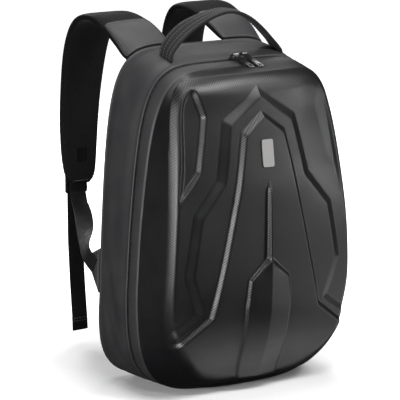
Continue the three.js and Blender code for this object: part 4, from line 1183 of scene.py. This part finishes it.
def build_webbing(label, side):
    """Webbing from the side tab to the buckle, over its bar and down as a loose tail with a hem."""
    x = side * STRAP_END["x"]
    run = smooth_rows(WEBBING_ROWS, RUN_STATIONS)
    flat = np.array([0.0, side * TAB_ACROSS[0], side * TAB_ACROSS[1]])
    run_across = unit(mix(flat, LEVEL, np.clip(run[:, 3:], 0, 1)))
    rise = np.array([[x, BUCKLE_BARS["y"] - BAR_RADIUS, BUCKLE_BARS["base"]]])
    turn = bar_turn(x, BUCKLE_BARS["middle"], math.pi, 0)
    tail = np.array([(x - side * inward, BUCKLE_BARS["y"] + BAR_RADIUS + behind, z)
                     for inward, behind, z, _ in TAIL_ROWS])
    middles = np.concatenate([run[:, :3] * [side, 1, 1], rise, turn, tail])
    across = np.concatenate([run_across, np.tile(LEVEL, (len(middles) - len(run), 1))])
    layers = np.concatenate([np.ones(len(middles) - len(tail)), [row[3] for row in TAIL_ROWS]])
    webbing_band(f"strap_webbing_{label}", f"webbing_{label}", middles, across, layers)
    half = LEVEL * WEBBING_WIDTH * HEM["half"]
    lines = []
    for lower in HEM["seams"]:
        for face in (1, -1):
            middle = tail[-2] + [0, face * WEBBING_THICK * THREAD_OUT, -lower]
            lines.append((np.array([middle - half, middle + half]), (0, face, 0)))
    stitches(f"hem_stitches_{label}", lines)


def panel_half(z):
    up = (z - BACK_OUTLINE["waist"]) / (BACK_OUTLINE["top"] - BACK_OUTLINE["waist"])
    return BACK_OUTLINE["half"] * (1 - BACK_OUTLINE["taper"] * lean(up)) - PANEL_INSET


def build_tab(label, side):
    """Sewn tab that holds the webbing's end against the side."""
    corners = np.array(TAB_CORNERS, float)
    middle = corners.mean(axis=0)
    shares = np.linspace(0, 1, TAB_EDGE_POINTS, endpoint=False)[:, None]
    edge = np.concatenate([mix(*ends, shares) for ends in zip(corners, np.roll(corners, -1, axis=0))])

    def face_ring(share, high):
        spots = middle + (edge - middle) * share
        x = side * (panel_half(spots[:, 1]) + TAB_GAP + high * TAB_THICK)
        return np.stack([x, spots[:, 0], spots[:, 1]], axis=-1)

    sections = np.stack([face_ring(share, high) for share, high in TAB_RINGS], axis=0)
    dress(loft(f"webbing_tab_{label}", sections, [SMOOTH]), "smooth", f"side_tab_{label}")
    seam = face_ring(TAB_SEAM, 1.0)
    stitches(f"tab_stitches_{label}", [(seam, (side, 0, 0))], "smooth")


# Hardware keeps its CAD shape, with softened edges
def soften(name, material, width):
    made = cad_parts[name]
    made.data.materials.clear()
    made.data.materials.append(material)
    weld = made.modifiers.new("weld", "WELD")
    weld.merge_threshold = 0.01 * MM
    bevel = made.modifiers.new("bevel", "BEVEL")
    bevel.width = width * MM
    bevel.segments = 2
    bevel.limit_method = "ANGLE"
    bevel.angle_limit = math.radians(BEVEL_ANGLE)
    bevel.harden_normals = False


def build_hardware():
    for label in SIDES:
        soften(f"buckle_{label}", PLASTIC, BEVELS["buckle"])
        soften(f"zip_slider_{label}", METAL, BEVELS["zip_slider"])
        soften(f"zip_pull_{label}", METAL, BEVELS["zip_pull"])
    soften("badge_plate", BADGE, BEVELS["badge_plate"])


# Stage
def build_floor():
    """Pale paper floor with painted light: it glows though it is no lamp, more with its distance from the
    bag.
    """
    mesh = bpy.data.meshes.new("floor")
    corners = [(x * FLOOR_REACH, y * FLOOR_REACH, 0) for x, y in ((-1, -1), (1, -1), (1, 1), (-1, 1))]
    mesh.from_pydata(corners, [], [(0, 1, 2, 3)])
    floor = add_object("floor", mesh)
    material, tree, shader = material_base("floor_paper", (0.86, 0.86, 0.86), 0.9)
    set_inputs(shader, {"Specular IOR Level": 0.0, "Emission Color": (1, 1, 1, 1)})
    place = add_node(tree, "ShaderNodeTexCoord")
    away = add_node(tree, "ShaderNodeVectorMath", operation="LENGTH")
    tree.links.new(place.outputs["Object"], away.inputs[0])
    vary(tree, shader.inputs["Emission Strength"], away.outputs["Value"], *FLOOR_GLOW, FLOOR_GLOW_REACH)
    mesh.materials.append(material)
    floor.visible_glossy = False
    floor.visible_diffuse = False


def aim(made, place, target):
    """The object stands at a place and looks at a target."""
    made.location = place
    made.rotation_euler = (Vector(target) - Vector(place)).to_track_quat("-Z", "Y").to_euler()


def area_light(name, place, target, size, power):
    light = bpy.data.lights.new(name, "AREA")
    light.shape = "RECTANGLE"
    light.size, light.size_y = size
    light.energy = power
    made = add_object(name, light)
    aim(made, place, target)
    made.visible_camera = False


def build_lights():
    for name, azimuth, elevation, size, power in LIGHTS:
        turn, rise = math.radians(azimuth), math.radians(elevation)
        level = math.cos(rise)
        direction = Vector((math.sin(turn) * level, -math.cos(turn) * level, math.sin(rise)))
        area_light(name, LIGHT_TARGET + direction * LIGHT_DISTANCE, LIGHT_TARGET, size, power)
    for name, place, size, power in BOUNCES:
        area_light(name, place, (place[0], place[1], 1), size, power)
    world = bpy.data.worlds.new("studio")
    world.use_nodes = True
    background = world.node_tree.nodes["Background"]
    set_inputs(background, {"Color": (1, 1, 1, 1), "Strength": WORLD_STRENGTH})
    bpy.context.scene.world = world


def build_camera():
    camera = bpy.data.cameras.new("camera")
    camera.sensor_width = SENSOR_WIDTH
    camera.lens = CAMERA["focal_pixels"] / IMAGE_WIDTH * SENSOR_WIDTH
    made = add_object("camera", camera)
    aim(made, Vector(CAMERA["place"]) * MM, Vector(CAMERA["target"]) * MM)
    bpy.context.scene.camera = made
    bpy.context.scene.view_settings.view_transform = "Standard"


build_shell()
build_band()
build_gusset()
build_zip()
build_back_panel()
build_handle()
for side_label, side_sign in SIDES.items():
    build_strap(side_label, side_sign)
    build_loop(side_label, side_sign)
    build_webbing(side_label, side_sign)
    build_tab(side_label, side_sign)
build_label()
build_hardware()
build_floor()
build_lights()
build_camera()
